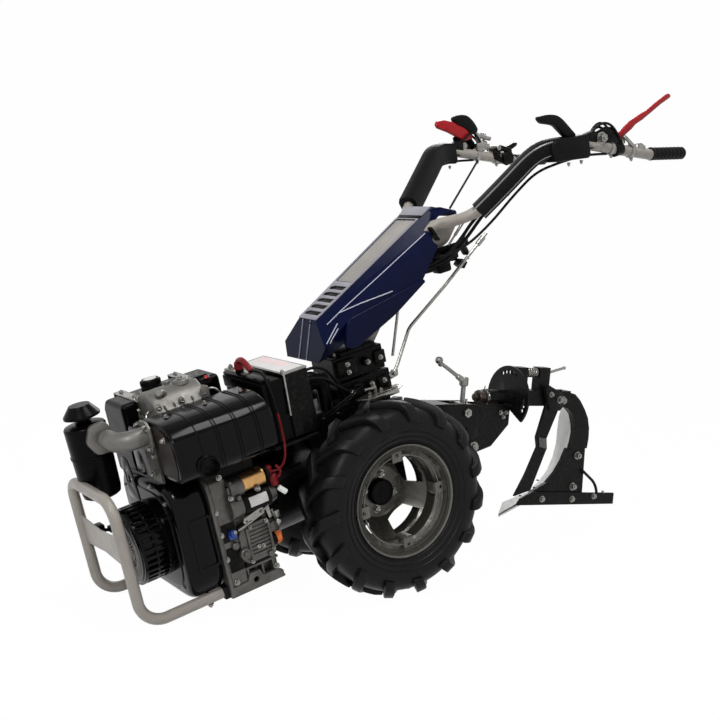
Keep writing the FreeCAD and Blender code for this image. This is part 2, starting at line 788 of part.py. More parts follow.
def air_intake():
    """Return the air cleaner with its mushroom cap and the elbow that feeds the head."""
    can = turned("canister", "Z", ("cleaner_x", "cleaner_y"),
                 [("0", "cleaner_low"), ("cleaner_radius - 14", "cleaner_low"),
                  ("cleaner_radius", "cleaner_low + 14"), ("cleaner_radius", "cleaner_top - 6"),
                  ("cleaner_radius - 6", "cleaner_top"), ("0", "cleaner_top")])
    spout = rod("spout", "Y", ("cleaner_x", "elbow_z"), "spout_radius", "cleaner_y", "cleaner_spout_y")
    bracket = box("cleaner_bracket", ("shroud_front", "cleaner_y - 22", "cleaner_low + 6"),
                  ("cleaner_x", "cleaner_y + 22", "cleaner_low + 12"))
    foot = box("cleaner_foot", ("shroud_front", "cleaner_y - 22", "shroud_top - 40"),
               ("shroud_front + 5", "cleaner_y + 22", "cleaner_low + 12"))
    stand("air_cleaner", join("air_cleaner", [can, spout, bracket, foot]))
    stand("air_cleaner_cap", turned("air_cleaner_cap", "Z", ("cleaner_x", "cleaner_y"),
                                    [("0", "cleaner_top"), ("neck_radius", "cleaner_top"),
                                     ("neck_radius", "cleaner_top + neck_height"),
                                     ("mushroom_radius", "cleaner_top + neck_height"),
                                     ("mushroom_radius", "cleaner_top + neck_height + 10"),
                                     ("mushroom_radius - 22", "cleaner_top + neck_height + mushroom_height"),
                                     ("0", "cleaner_top + neck_height + mushroom_height")]))
    path = route("elbow_path", [("cleaner_x", "cleaner_spout_y", "elbow_z"), ("cleaner_x", "elbow_y", "elbow_z"),
                                ("muffler_front + port_thick", "elbow_y", "elbow_z")], ["elbow_bend"])
    stand("intake_elbow", tube("intake_elbow", path, "elbow_radius"))


def engine_fittings():
    """Return the electric starter, its solenoid, the injection pump and the oil filler."""
    stand("starter_motor", turned("starter_motor", "X", ("motor_y", "motor_z"),
                                  [("motor_rear", "0"), ("motor_rear", "motor_radius - 6"),
                                   ("motor_rear + 6", "motor_radius"), ("plate_rear", "motor_radius"),
                                   ("plate_rear", "0")]))
    stand("starter_solenoid", turned("starter_solenoid", "X", ("solenoid_y", "solenoid_z"),
                                     [("solenoid_rear", "0"), ("solenoid_rear", "solenoid_radius"),
                                      ("plate_rear", "solenoid_radius"), ("plate_rear", "0")]))
    stand("injection_pump", slab("injection_pump", "XZ", "engine_half", "pump_left",
                                 [("pump_rear", "pump_low + 20"), ("pump_rear + 20", "pump_low"),
                                  ("pump_front", "pump_low"), ("pump_front", "pump_top - 15"),
                                  ("pump_front - 15", "pump_top"), ("pump_rear", "pump_top")]))
    stand("oil_filler_cap", turned("oil_filler_cap", "X", ("filler_y", "filler_z"),
                                   [("engine_rear", "0"), ("engine_rear", "filler_radius - 4"),
                                    ("engine_rear - filler_length / 2", "filler_radius - 4"),
                                    ("engine_rear - filler_length / 2", "filler_radius"),
                                    ("engine_rear - filler_length", "filler_radius"),
                                    ("engine_rear - filler_length", "0")]))


def battery():
    """Return the battery with its posts, on a tray with its hold-down."""
    block = box("battery_box", ("battery_rear", "battery_right", "battery_low"),
                ("battery_front", "battery_left", "battery_top"))
    post = rod("battery_post", "Z", ("post_x", "post_y"), "post_radius", "battery_top", "battery_top + post_height")
    stand("battery", join("battery", [block, post]))
    tray = box("tray_floor", ("battery_rear + 8", "battery_right - tray_lip", "battery_low - tray_thick"),
               ("battery_front + 4", "battery_left + tray_lip", "battery_low"))
    leg = box("tray_leg", ("battery_rear + 20", "-50", "crank_height + bell_radius"),
              ("battery_front - 10", "50", "battery_low"))
    stand("battery_tray", join("battery_tray", [tray, leg]))
    bar = box("clamp_bar", ("clamp_x - clamp_half", "battery_right - tray_lip + 1", "battery_top"),
              ("clamp_x + clamp_half", "battery_left + tray_lip - 1", "battery_top + clamp_thick"))
    rods = [rod(f"clamp_rod_{index}", "Z", ("clamp_x + 25", y), "clamp_rod", "battery_low", "battery_top + 12")
            for index, y in enumerate(("battery_left + clamp_rod + 0.5", "battery_right - clamp_rod - 0.5"))]
    stand("battery_clamp", join("battery_clamp", [bar] + rods))


def chassis_leads():
    """Return the breather hose, the battery's lead and the cables between battery, turret and gearbox."""
    foot = "case_top + touch_gap"
    stand("breather_hose", leads("breather_hose", "hose_radius", [
        [("battery_rear - touch_gap", "hose_y", "hose_z"), ("hose_foot_x", "hose_y", "hose_z"),
         ("hose_foot_x", "hose_y", foot)]]))
    side = "lead_side_y"
    stand("battery_lead", leads("battery_lead", "lead_radius", [
        [("post_x", "post_y + post_radius + touch_gap", "battery_top + 22"),
         ("post_x + 4", "battery_left - 40", "battery_top + 34"), ("post_x", side, "battery_top + 6"),
         ("post_x - 8", side, "612"), ("post_x - 4", side, "530"), ("solenoid_rear - 66", side, "solenoid_z + 6"),
         ("solenoid_rear - 1", "solenoid_y", "solenoid_z")]]))
    wall = "turret_half + loop_radius + touch_gap"
    start = "battery_rear - 0.8"
    stand("turret_cables", leads("turret_cables", "loop_radius", [
        [(start, "loop_y", "706"), ("108", "loop_y + 2", "714"), ("62", "loop_y - 4", "696"),
         ("30", "loop_y - 14", "648"), ("8", wall, "604"), ("0", wall, "570")],
        [(start, "loop_y + 14", "688"), ("110", "loop_y + 14", "684"), ("66", "loop_y + 8", "664"),
         ("36", "loop_y", "632"), ("-8", "loop_y - 10", "600"), ("-24", wall, "572")]]))
    edge = "case_half + wire_radius + touch_gap"
    stand("clutch_cables", leads("clutch_cables", "wire_radius", [
        [("-60", "turret_half + wire_radius + 0.5", "588"), ("0", "turret_half + 46", "590"),
         ("60", "turret_half + 52", "572"), ("100", edge, "536")],
        [("-76", "turret_half + wire_radius + 0.5", "600"), ("-10", "turret_half + 54", "606"),
         ("52", "turret_half + 60", "588"), ("108", edge, "548")]]))


def bumper():
    """Return the front bumper, one bent loop whose two legs run on as rails to the crankcase."""
    loop = [("rail_rear", "-bumper_half", "rail_z"), ("bumper_front", "-bumper_half", "rail_z"),
            ("bumper_front", "-bumper_half", "bumper_top"), ("bumper_front", "bumper_half", "bumper_top"),
            ("bumper_front", "bumper_half", "rail_z"), ("rail_rear", "bumper_half", "rail_z")]
    bends = ["bumper_bend", "loop_bend", "loop_bend", "bumper_bend"]
    outer = tube("bumper_round", route("bumper_path", loop, bends), "bumper_tube")
    inner = tube("bumper_bore", route("bumper_bore_path", loop, bends), "bumper_tube - bumper_wall")
    web = slab("bumper_web", "YZ", "bumper_front - web_thick / 2", "bumper_front + web_thick / 2",
               [("-bumper_half", "web_low"), ("0", "web_low + web_waist"), ("bumper_half", "web_low"),
                ("bumper_half", "web_high"), ("0", "web_high - web_waist"), ("-bumper_half", "web_high")])
    stand("front_bumper", cut("front_bumper", join("bumper_whole", [outer, web]), inner))


# ---------------------------------------------------------------- steering column, hood and handlebars

def top_line(x):
    """Return the height of the hood's top panel at a length along the machine, as an expression."""
    slope = "(hood_tail_top_z - hood_nose_top_z) / (hood_nose_top_x - (hood_tail_top_x))"
    return f"(hood_nose_top_z + (hood_nose_top_x - ({x})) * {slope})"


def turret_head():
    """Return the head that swings on the turret, and the column that carries the hood."""
    head = box("turret_head_block", ("turret_rear + 5", "-turret_head_half", "head_low"),
               ("turret_front - 5", "turret_head_half", "turret_head_top"))
    pivot = rod("turret_pivot", "Z", ("turret_x", "0"), "pivot_radius", "turret_top - pivot_depth + 2", "head_low")
    stand("turret_head", join("turret_head", [head, pivot]))
    under = "hood_wall * 1.15"
    stand("steering_column", slab("steering_column", "XZ", "-column_half", "column_half",
                                  [("-92", "turret_head_top"), ("turret_rear + 5", "turret_head_top"),
                                   ("bar_root_x - 25", "bar_root_z - 40"), ("bar_root_x - 25", "bar_root_z + 5"),
                                   ("-330", f"{top_line('-330')} - {under} - touch_gap"),
                                   ("-160", f"{top_line('-160')} - {under} - touch_gap")]))


def hood_corners(shrink):
    """Return the hood's corners for one side, moved inwards by shrink, as a name to point map."""
    inward = value(shrink)
    half = {"nose_top": "hood_nose_top_half", "tail_top": "hood_tail_top_half", "nose_side": "hood_half",
            "bulge": "hood_half", "crease": "hood_crease_half", "nose_low": "hood_nose_low_half",
            "belly": "hood_half", "corner": "hood_half", "lip": "hood_lip_half"}
    corners = {}
    for name, width in half.items():
        corners[name] = V(value(f"hood_{name}_x"), value(width) - inward, value(f"hood_{name}_z"))
    corners["nose_top"].z -= inward * 0.617
    corners["tail_top"].z -= inward * 1.635
    for name in ("bulge", "crease"):
        corners[name].z -= inward * 0.6
    for name in ("nose_top", "nose_side", "nose_low"):
        corners[name].x -= inward * 1.1
    corners["tail_top"].x += inward
    corners["crease"].x += inward
    corners["corner"].x += inward * 1.3
    corners["lip"].x += inward
    corners["lip"].z -= inward * 0.9
    return corners


def faceted(corners):
    """Return the closed solid through the hood's corners and their mirror images."""
    left = corners
    right = {name: V(spot.x, -spot.y, spot.z) for name, spot in corners.items()}
    strips = [("nose_top", "nose_side", "bulge"), ("nose_top", "bulge", "crease"),
              ("nose_top", "crease", "tail_top"), ("nose_side", "nose_low", "bulge"),
              ("nose_low", "belly", "bulge"), ("bulge", "belly", "corner"), ("bulge", "corner", "crease"),
              ("tail_top", "crease", "lip"), ("crease", "corner", "lip")]
    faces = []
    for side in (left, right):
        for names in strips:
            faces.append(Part.Face(Part.makePolygon([side[name] for name in names + names[:1]])))
    spans = [("nose_top", "tail_top"), ("tail_top", "lip"), ("lip", "corner"), ("corner", "belly"),
             ("belly", "nose_low"), ("nose_low", "nose_side"), ("nose_side", "nose_top")]
    for first, second in spans:
        loop = [left[first], left[second], right[second], right[first], left[first]]
        faces.append(Part.Face(Part.makePolygon(loop)))
    solid = Part.makeSolid(Part.makeShell(faces))
    if solid.Volume < 0:
        solid.reverse()
    return solid


def hood(paths):
    """Return the folded hood, open underneath and behind, with a way out for the handlebar tubes."""
    outer = faceted(hood_corners("0"))
    inside = hood_corners("hood_wall")
    shell = outer.cut(faceted(inside))
    for first, second in (("lip", "corner"), ("corner", "belly"), ("belly", "nose_low")):
        left, right = [inside[first], inside[second]], [V(inside[name].x, -inside[name].y, inside[name].z)
                                                        for name in (second, first)]
        opening = Part.Face(Part.makePolygon(left + right + left[:1]))
        shell = shell.cut(opening.extrude(V(0, 0, -value("hood_open_depth"))))
    for path in paths:
        clear = tube(path.Name + "_clear", path, "bar_radius + run_gap")
        DOC.recompute()
        shell = shell.cut(clear.Shape)
    largest = max(shell.Solids, key=lambda solid: solid.Volume)
    piece = DOC.addObject("Part::Feature", "hood")
    piece.Shape = largest
    stand("hood", piece)


def bar_points(side):
    """Return the handlebar tube's corners, from the column out to the grip's end."""
    sign = side_of(side)
    spots = [("bar_root_x", "column_half", "bar_root_z"), ("bar_root_x", "bar_exit_y - 30", "bar_root_z"),
             ("bar_exit_x", "bar_exit_y", "bar_exit_z"), ("bar_low_x", "bar_low_y", "bar_low_z"),
             ("bar_bend_x", "bar_bend_y", "bar_bend_z"), ("bar_high_x", "bar_half", "bar_high_z"),
             ("grip_start_x", "bar_half", "grip_start_z"), ("grip_end_x", "bar_half", "grip_end_z")]
    return [(x, f"{sign} * ({y})", z) for x, y, z in spots]


def handlebar(side):
    """Return one handlebar tube, its moulded cover and its grip; give back the tube's path."""
    spots = bar_points(side)
    path = route(f"bar_path_{side}", spots, ["30", "50", "60", "90", "60", "150"])
    outer = tube(f"bar_round_{side}", path, "bar_radius")
    inner = tube(f"bar_bore_{side}", path, "bar_radius - bar_wall")
    stand(f"handlebar_{side}", cut(f"handlebar_{side}", outer, inner))
    first = [f"(({a}) * 0.92 + ({b}) * 0.08)" for a, b in zip(spots[3], spots[4])]
    last = [f"(({a}) * 0.06 + ({b}) * 0.94)" for a, b in zip(spots[4], spots[5])]
    run = route(f"cover_path_{side}", [first, spots[4], last], ["90"])
    cover = cut(f"cover_{side}", tube(f"cover_round_{side}", run, "cover_radius"),
                tube(f"cover_bore_{side}", run, "bar_radius + cover_gap"))
    stand(f"cover_{side}", cover)
    start = [f"(({a}) * 0.85 + ({b}) * 0.15)" for a, b in zip(spots[6], spots[7])]
    hold = route(f"grip_path_{side}", [start, spots[7]], [])
    grip = cut(f"grip_{side}", tube(f"grip_round_{side}", hold, "grip_radius"),
               tube(f"grip_bore_{side}", hold, "bar_radius + cover_gap"))
    stand(f"grip_{side}", grip)
    return path


def bar_top(x):
    """Return the height of the tube's upper side between its high bend and the grip."""
    slope = "((bar_high_z - grip_start_z) / (bar_high_x - (grip_start_x)))"
    return f"(bar_high_z - (bar_high_x - ({x})) * {slope} + bar_radius / cos(atan{slope}) + touch_gap)"


def hand_lever(side):
    """Return a hand lever with its pivot block, seated on the handlebar tube; the right one points forward."""
    sign = side_of(side)
    low, high = sorted((f"{sign} * bar_half - lever_thick / 2", f"{sign} * bar_half + lever_thick / 2"), key=value)
    near, far = "lever_clamp_x", "lever_clamp_x - lever_clamp_length"
    points = [(near, bar_top(near)), (near, "lever_pivot_z"), ("lever_clamp_x - 20", "lever_pivot_z + 14"),
              ("lever_tip_x + 100", "lever_tip_z - 24"), ("lever_tip_x", "lever_tip_z + 8"),
              ("lever_tip_x + 3", "lever_tip_z - 8"), ("lever_tip_x + 100", "lever_tip_z - 42"),
              (far, "lever_pivot_z - 2"), (far, bar_top(far))]
    if side == "right":
        near, far = "short_root_x", "short_root_x - lever_clamp_length"
        points = [(far, bar_top(far)), (far, "lever_pivot_z + 30"), ("short_root_x - 15", "lever_pivot_z + 45"),
                  ("short_tip_x - 50", "short_tip_z - 30"), ("short_tip_x - 10", "short_tip_z"),
                  ("short_tip_x + 4", "short_tip_z"), ("short_tip_x", "short_tip_z - 14"),
                  ("short_tip_x - 44", "short_tip_z - 50"), (near, "lever_pivot_z + 24"), (near, bar_top(near))]
    stand(f"hand_lever_{side}", slab(f"hand_lever_{side}", "XZ", low, high, points))


def thumb_lever(side, root, foot, neck):
    """Return a curved lever that stands on what foot gives the height of, at root, raised by a neck."""
    sign = side_of(side)
    low, high = sorted((f"{sign} * bar_half - lever_thick / 2", f"{sign} * bar_half + lever_thick / 2"), key=value)
    ahead, behind = f"{root} + thumb_foot", f"{root} - thumb_foot"
    top, tip = f"{foot(ahead)} + {neck}", f"{root} + thumb_reach"
    points = [(behind, foot(behind)), (f"{root} - 10", f"{top} + 26"), (f"{root} + 22", f"{top} + thumb_rise"),
              (f"{root} + 52", f"{top} + thumb_rise + 18"), (tip, f"{top} + thumb_rise + 14"),
              (tip, f"{top} + thumb_rise - 4"), (f"{root} + 50", f"{top} + thumb_rise - 4"),
              (f"{root} + 14", f"{top} + 24"), (ahead, foot(ahead))]
    return slab(f"thumb_lever_{side}", "XZ", low, high, points)


def handle_fittings():
    """Return the curved levers, the control cables under the handlebars and the ignition switch."""
    pair = DOC.addObject("Part::Compound", "thumb_levers")
    pair.Links = [thumb_lever("left", "thumb_root_x", lambda x: "(bar_high_z + cover_radius + 3)", "0"),
                  thumb_lever("right", "thumb_right_x", bar_top, "thumb_neck")]
    stand("thumb_levers", pair)
    runs = []
    for sign in ("1", "-1"):
        route_points = [("bar_root_x - 12", "column_half + 22", "bar_root_z - 44"), ("-410", "105", "903"),
                        ("-475", "165", "928"), ("-540", "216", "984"), ("-604", "262", "1052"),
                        ("-668", "303", "1107"), ("-752", "325", "1119"), ("-850", "333", "1119"),
                        ("-930", "333", "1105")]
        runs.append([(x, f"{sign} * ({y})", z) for x, y, z in route_points])
    stand("handle_cables", leads("handle_cables", "cable_radius", runs))
    half = "switch_size / 2"
    arm = slab("switch_arm", "XZ", "-3", "3",
               [("bar_root_x - 25 - touch_gap", "bar_root_z - 20"), ("bar_root_x - 25 - touch_gap", "bar_root_z - 36"),
                ("switch_x + 20", f"switch_z + {half} - 4"), ("switch_x", f"switch_z + {half} - 4"),
                ("switch_x", f"switch_z + {half} + 6")])
    block = slab("switch_block", "XZ", "-3", "switch_size",
                 [(f"switch_x - {half}", "switch_z"), ("switch_x", f"switch_z - {half}"),
                  (f"switch_x + {half}", "switch_z"), ("switch_x", f"switch_z + {half}")])
    stand("key_switch", join("key_switch", [arm, block]))


def shift_rods():
    """Return the two selector rods that hang from the hood's column down to the turret."""
    long_path = route("long_rod_path", [("bar_root_x - 20", "column_half + rod_radius + touch_gap", "bar_root_z - 30"),
                                        ("-268", "70", "718"), ("-185", "76", "600")], ["40"])
    short_path = route("short_rod_path", [("-300", "column_half + rod_radius + touch_gap", "860"),
                                          ("-215", "column_half + rod_radius + touch_gap", "640")], [])
    pair = DOC.addObject("Part::Compound", "shift_rods")
    pair.Links = [tube("long_rod", long_path, "rod_radius"), tube("short_rod", short_path, "rod_radius")]
    stand("shift_rods", pair)


# ---------------------------------------------------------------- hitch and plough, in the shaft's frame

def hitch():
    """Return the hitch bracket, the coupling with its shaft tube and lock disc, and the depth crank."""
    block = box("bracket_block", ("bracket_rear", "-bracket_half", "bracket_low"),
                ("bracket_front", "bracket_half", "bracket_top"))
    slot = box("bracket_slot", ("bracket_rear", "-coupling_half - touch_gap", "bracket_low"),
               ("bracket_front - 30", "coupling_half + touch_gap", "bracket_top"))
    stand("hitch_bracket", cut("hitch_bracket", block, slot), "plough")
    plates = []
    for index, (low, high) in enumerate((("coupling_half - coupling_wall", "coupling_half"),
                                         ("-coupling_half", "-coupling_half + coupling_wall"))):
        plates.append(slab(f"coupling_plate_{index}", "XZ", low, high,
                           [("219", "-51"), ("219", "-20"), ("20", "-20"), ("20", "-86"), ("87", "-158"),
                            ("176", "-186")]))
    deck = box("coupling_deck", ("20", "-coupling_half", "-tube_radius - 6"),
               ("tube_front", "coupling_half", "-tube_radius + 2"))
    sleeve = rod("sleeve", "X", ("0", "0"), "tube_radius", "-disc_thick / 2", "tube_front")
    disc = DOC.addObject("PartDesign::Body", "disc_body")
    pad(disc, "disc_round", "YZ", "-disc_thick / 2", "disc_thick / 2", circles=[("0", "0", "disc_radius")])
    pocket(disc, "disc_trim", "YZ", "-disc_thick", "disc_thick",
           [("0", "-tube_radius - 6"), ("disc_radius * 2", "-tube_radius - 6 - disc_radius * 1.1"),
            ("disc_radius * 2", "-disc_radius * 3"), ("-disc_radius * 2", "-disc_radius * 3"),
            ("-disc_radius * 2", "-tube_radius - 6 - disc_radius * 1.1")])
    holes = []
    for angle in (-24, -13, -2, 66, 78, 90, 102, 114, 182, 193, 204):
        holes.append((f"pin_height * cos({angle})", f"pin_height * sin({angle})", "lock_hole"))
    pocket(disc, "lock_holes", "YZ", "-disc_thick", "disc_thick", circles=holes)
    body = join("coupling_whole", plates + [deck, sleeve, disc])
    bore = rod("shaft_bore", "X", ("0", "0"), "shaft_radius + running_fit", "-disc_thick / 2", "tube_front")
    stand("coupling", cut("coupling", body, bore), "plough")
    screw = rod("screw", "Z", ("screw_x", "0"), "crank_screw", "bracket_top - 40", "knuckle_z")
    knuckle = ball("knuckle", ("screw_x", "0", "knuckle_z"), "crank_screw * 1.5")
    arm_path = route("arm_path", [("screw_x", "0", "knuckle_z"), ("ball_x", "0", "ball_z")], [])
    arm = tube("crank_arm", arm_path, "crank_screw * 0.6")
    grip = ball("crank_ball", ("ball_x", "0", "ball_z"), "ball_radius")
    nut = box("screw_block", ("screw_x - 14", "-coupling_half + coupling_wall + touch_gap", "bracket_top - 24"),
              ("screw_x + 14", "coupling_half - coupling_wall - touch_gap", "bracket_top"))
    stand("depth_crank", join("depth_crank", [screw, knuckle, arm, grip, nut]), "plough")


def plough_beam():
    """Return the turning shaft, the square beam with its curved neck and the lock pin on its lugs."""
    shaft = rod("shaft_round", "X", ("0", "0"), "shaft_radius", "beam_front", "shaft_front")
    nut = rod("shaft_nut", "X", ("0", "0"), "nut_radius", "tube_front + 1", "nut_front")
    stand("plough_shaft", join("plough_shaft", [shaft, nut]), "plough")
    beam = box("beam_square", ("beam_rear", "-beam_half", "-beam_half"), ("beam_front", "beam_half", "beam_half"))
    neck = slab("beam_neck", "XZ", "-neck_half", "neck_half",
                [("beam_rear + 20", "beam_half"), ("-292", "13"), ("-318", "-9"), ("-343", "-41"),
                 ("-361", "-71"), ("-371", "-107"), ("-373", "-142"), ("-369", "-178"), ("-296", "-178"),
                 ("-302", "-153"), ("-306", "-124"), ("-302", "-94"), ("-288", "-59"), ("-262", "-36"),
                 ("beam_rear + 39", "-beam_half")])
    lugs = []
    for index, (rear, front, top) in enumerate((("-62", "-23", "103"), ("-160", "-115", "104"))):
        lug = slab(f"lug_{index}", "XZ", "-lug_half", "lug_half",
                   [(rear, "beam_half"), (front, "beam_half"), (front, top), (rear, top)])
        bore = rod(f"lug_bore_{index}", "X", ("0", "pin_height"), "pin_radius + touch_gap", f"{rear} - 1", f"{front} + 1")
        lugs.append(cut(f"lug_drilled_{index}", lug, bore))
    stand("plough_beam", join("plough_beam", [beam, neck] + lugs), "plough")
    pin = rod("pin_round", "X", ("0", "pin_height"), "pin_radius", "pin_end", "-disc_thick / 2 - run_gap")
    handle = tube("pin_handle", route("handle_path", [("pin_end", "0", "pin_height"),
                                                      ("handle_end", "0", "pin_height + 18")], []), "pin_radius - 1")
    spring = cut("spring_form", rod("spring_round", "X", ("0", "pin_height"), "pin_radius + 9", "-115", "-62"))
    stand("lock_pin", join("lock_pin", [pin, handle, spring]), "plough")


def plough_body():
    """Return the coulter and the plough's frog, landside, share and mouldboard."""
    seat = "beam_half + touch_gap"
    stand("coulter", slab("coulter", "XZ", seat, f"{seat} + coulter_half * 2",
                          [("-124", "32"), ("-205", "32"), ("-196", "-36"), ("-153", "-138"), ("-158", "-173"),
                           ("-116", "-279"), ("-103", "-313"), ("-34", "-331"), ("-74", "-260"),
                           ("-116", "-165"), ("-108", "-131"), ("-139", "-19")]), "plough")
    stand("frog", slab("frog", "XZ", "-neck_half", "-neck_half + frog_half * 2",
                       [("-283", "-178"), ("-369", "-178"), ("-374", "-339"), ("-131", "-330"),
                        ("-203", "-297"), ("-238", "-262"), ("-264", "-222")]), "plough")
    edge = "-neck_half + frog_half * 2"
    stand("landside", slab("landside", "XZ", edge, f"{edge} + landside_thick",
                           [("landside_rear", "sole_level"), ("-69", "-369"), ("-84", "-347"), ("-131", "-325"),
                            ("landside_rear", "-343")]), "plough")
    stand("share", sheet_between("share", [
        (edge, [("3", "-399"), ("-90", "-362"), ("-146", "-338")]),
        ("-share_reach", [("-101", "-383"), ("-167", "-363"), ("-229", "-346")])], "share_thick"), "plough")
    stand("mouldboard", sheet_between("mouldboard", [
        ("-neck_half - touch_gap", [("-303", "-58"), ("-316", "-92"), ("-306", "-142"), ("-298", "-181"),
                                    ("-279", "-222"), ("-253", "-263"), ("-218", "-298"), ("-168", "-331")]),
        ("-mould_middle", [("-354", "-46"), ("-344", "-85"), ("-342", "-133"), ("-342", "-182"),
                           ("-332", "-231"), ("-311", "-278"), ("-276", "-320"), ("-250", "-339")]),
        ("-mould_reach", [("-440", "-50"), ("-450", "-88"), ("-452", "-136"), ("-452", "-186"),
                          ("-440", "-236"), ("-415", "-284"), ("-375", "-324"), ("-345", "-345")])],
                                      "mould_thick"), "plough")
    near = f"{edge} + brace_radius + touch_gap"
    rest = f"{near} + landside_thick"
    stand("brace_rod", leads("brace_rod", "brace_radius", [
        [("-358", near, "-256"), ("-417", rest, "-303"), ("-434", rest, "-354")]]), "plough")


def sheet_between(name, rows, thick):
    """Return a sheet ruled between rows of points, each row a distance across and its (x, z) places."""
    ends = []
    for index, (reach, faces) in enumerate(rows):
        backs = [(f"{x} - {thick} * 0.5", f"{z} - {thick} * 0.85") for x, z in reversed(faces)]
        corners = [point((x, reach, z)) for x, z in faces + backs]
        section = DOC.addObject("Part::Feature", f"{name}_section_{index}")
        section.Shape = Part.makePolygon(corners + corners[:1])
        ends.append(section)
    sheet = DOC.addObject("Part::Loft", name)
    sheet.Sections, sheet.Solid, sheet.Ruled = ends, True, True
    return sheet


def check_and_write():
    """Stop on any failed object or bad shape, then write each node's STEP file."""
    failed = [item.Name for item in DOC.Objects if {"Invalid", "Error"} & set(item.State)]
    bad = [name for name, item in NODES.items() if item.Shape.isNull() or not item.Shape.isValid()]
    if failed or bad:
        raise RuntimeError(f"failed objects {failed}, bad shapes {bad}")
    os.makedirs("parts", exist_ok=True)
    for name, item in NODES.items():
        item.Shape.exportStep(f"parts/{name}.step")


def centre_on_origin():
    """Set the sheet's middle so that the standing machine is centred on the origin along X."""
    DOC.recompute()
    reach = [item.Shape.optimalBoundingBox(False) for item in NODES.values()]
    middle = (min(span.XMin for span in reach) + max(span.XMax for span in reach)) / 2
    SHEET.set(MIDDLE_CELL, str(round(middle, 3)))
    DOC.recompute()


SIZES["pitch"] = 0
SIZES["middle_x"] = 0
MIDDLE_CELL = f"A{len(SIZES)}"
fill_sheet()
SHEET.set(f"A{len(SIZES) - 1}", str(round(pitch_angle(), 5)))
for wheel_side in ("left", "right"):
    tyre(wheel_side)
    rim(wheel_side)
    hub(wheel_side)
transmission()
engine()
fuel_system()
exhaust()
air_intake()
engine_fittings()
battery()
chassis_leads()
bumper()
turret_head()
hood([handlebar(bar_side) for bar_side in ("left", "right")])
for bar_side in ("left", "right"):
    hand_lever(bar_side)
handle_fittings()
shift_rods()
hitch()
plough_beam()
plough_body()
centre_on_origin()
check_and_write()
span = Part.makeCompound([item.Shape for item in NODES.values()]).optimalBoundingBox(False)
print(f"{len(NODES)} nodes, {span.XLength:.0f} x {span.YLength:.0f} x {span.ZLength:.0f} mm,"
      f" pitch {value('pitch'):.3f} degrees, middle {value('middle_x'):.2f}, lowest {span.ZMin:.3f}")
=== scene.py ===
"""Looks of a two-wheel walking tractor with a mounted plough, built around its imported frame.

Each sub-assembly is a class. It builds its pieces in millimetres in one of the machine's own frames
and hands them over in metres, in the frame's coordinates, dressed in named finishes.
"""

import json
import logging
import math
from dataclasses import dataclass
from enum import Enum
from typing import ClassVar, Iterable, Optional, Sequence, Union

import bmesh
import bpy
from mathutils import Matrix, Vector

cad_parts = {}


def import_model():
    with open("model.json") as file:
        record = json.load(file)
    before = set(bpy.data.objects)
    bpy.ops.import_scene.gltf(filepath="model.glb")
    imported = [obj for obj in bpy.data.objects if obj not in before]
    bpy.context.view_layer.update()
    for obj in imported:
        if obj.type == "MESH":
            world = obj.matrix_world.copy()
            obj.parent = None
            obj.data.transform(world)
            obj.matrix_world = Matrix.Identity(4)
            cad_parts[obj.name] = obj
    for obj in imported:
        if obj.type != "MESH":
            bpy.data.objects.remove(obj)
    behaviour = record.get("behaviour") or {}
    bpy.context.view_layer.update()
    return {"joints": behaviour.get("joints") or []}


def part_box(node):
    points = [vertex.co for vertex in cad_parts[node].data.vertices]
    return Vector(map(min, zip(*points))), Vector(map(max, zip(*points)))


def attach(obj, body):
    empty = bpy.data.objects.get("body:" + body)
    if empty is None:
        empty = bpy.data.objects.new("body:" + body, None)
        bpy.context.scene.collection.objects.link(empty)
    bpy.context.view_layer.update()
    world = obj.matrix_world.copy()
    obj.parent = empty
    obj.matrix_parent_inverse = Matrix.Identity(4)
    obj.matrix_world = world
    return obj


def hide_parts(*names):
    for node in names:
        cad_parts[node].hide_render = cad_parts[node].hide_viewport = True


logging.basicConfig(level=logging.INFO, format="%(levelname)s %(message)s")
LOG = logging.getLogger("walking_tractor")

MM = 0.001
TAU = math.tau
Point = Sequence[float]
Outline = Sequence[Point]
Tree, Socket, BMesh = bpy.types.NodeTree, bpy.types.NodeSocket, bmesh.types.BMesh
Source = Union[Socket, Sequence[float]]
FRONT, LEFT, UP, DOWN = (1, 0, 0), (0, 1, 0), (0, 0, 1), (0, 0, -1)


# ---- finishes


def linear(text: str) -> tuple[float, float, float, float]:
    """Turn a colour written as sRGB hex into linear values.

    Args:
        text: six hex digits.

    Returns:
        Red, green, blue and a full alpha, in linear light.
    """
    parts = [int(text[i:i + 2], 16) / 255 for i in (0, 2, 4)]
    return tuple(c / 12.92 if c <= 0.04045 else ((c + 0.055) / 1.055) ** 2.4 for c in parts) + (1.0,)


def add_node(tree: Tree, kind: str, inputs: Optional[dict] = None, **settings: object) -> bpy.types.Node:
    """Add a node with its settings and links.

    Args:
        tree: the node tree to add to.
        kind: the shader node's type, such as TexNoise.
        inputs: a value or a source socket for each input socket, by name or number.
        **settings: attributes to set on the node.

    Returns:
        The new node.
    """
    node = tree.nodes.new("ShaderNode" + kind)
    for name, setting in settings.items():
        setattr(node, name, setting)
    for name, item in (inputs or {}).items():
        if isinstance(item, Socket):
            tree.links.new(item, node.inputs[name])
        else:
            node.inputs[name].default_value = item
    return node


class Grain(Enum):
    """How a surface's small relief is patterned."""

    SMOOTH = "smooth"
    SAND = "sand"
    LEATHER = "leather"


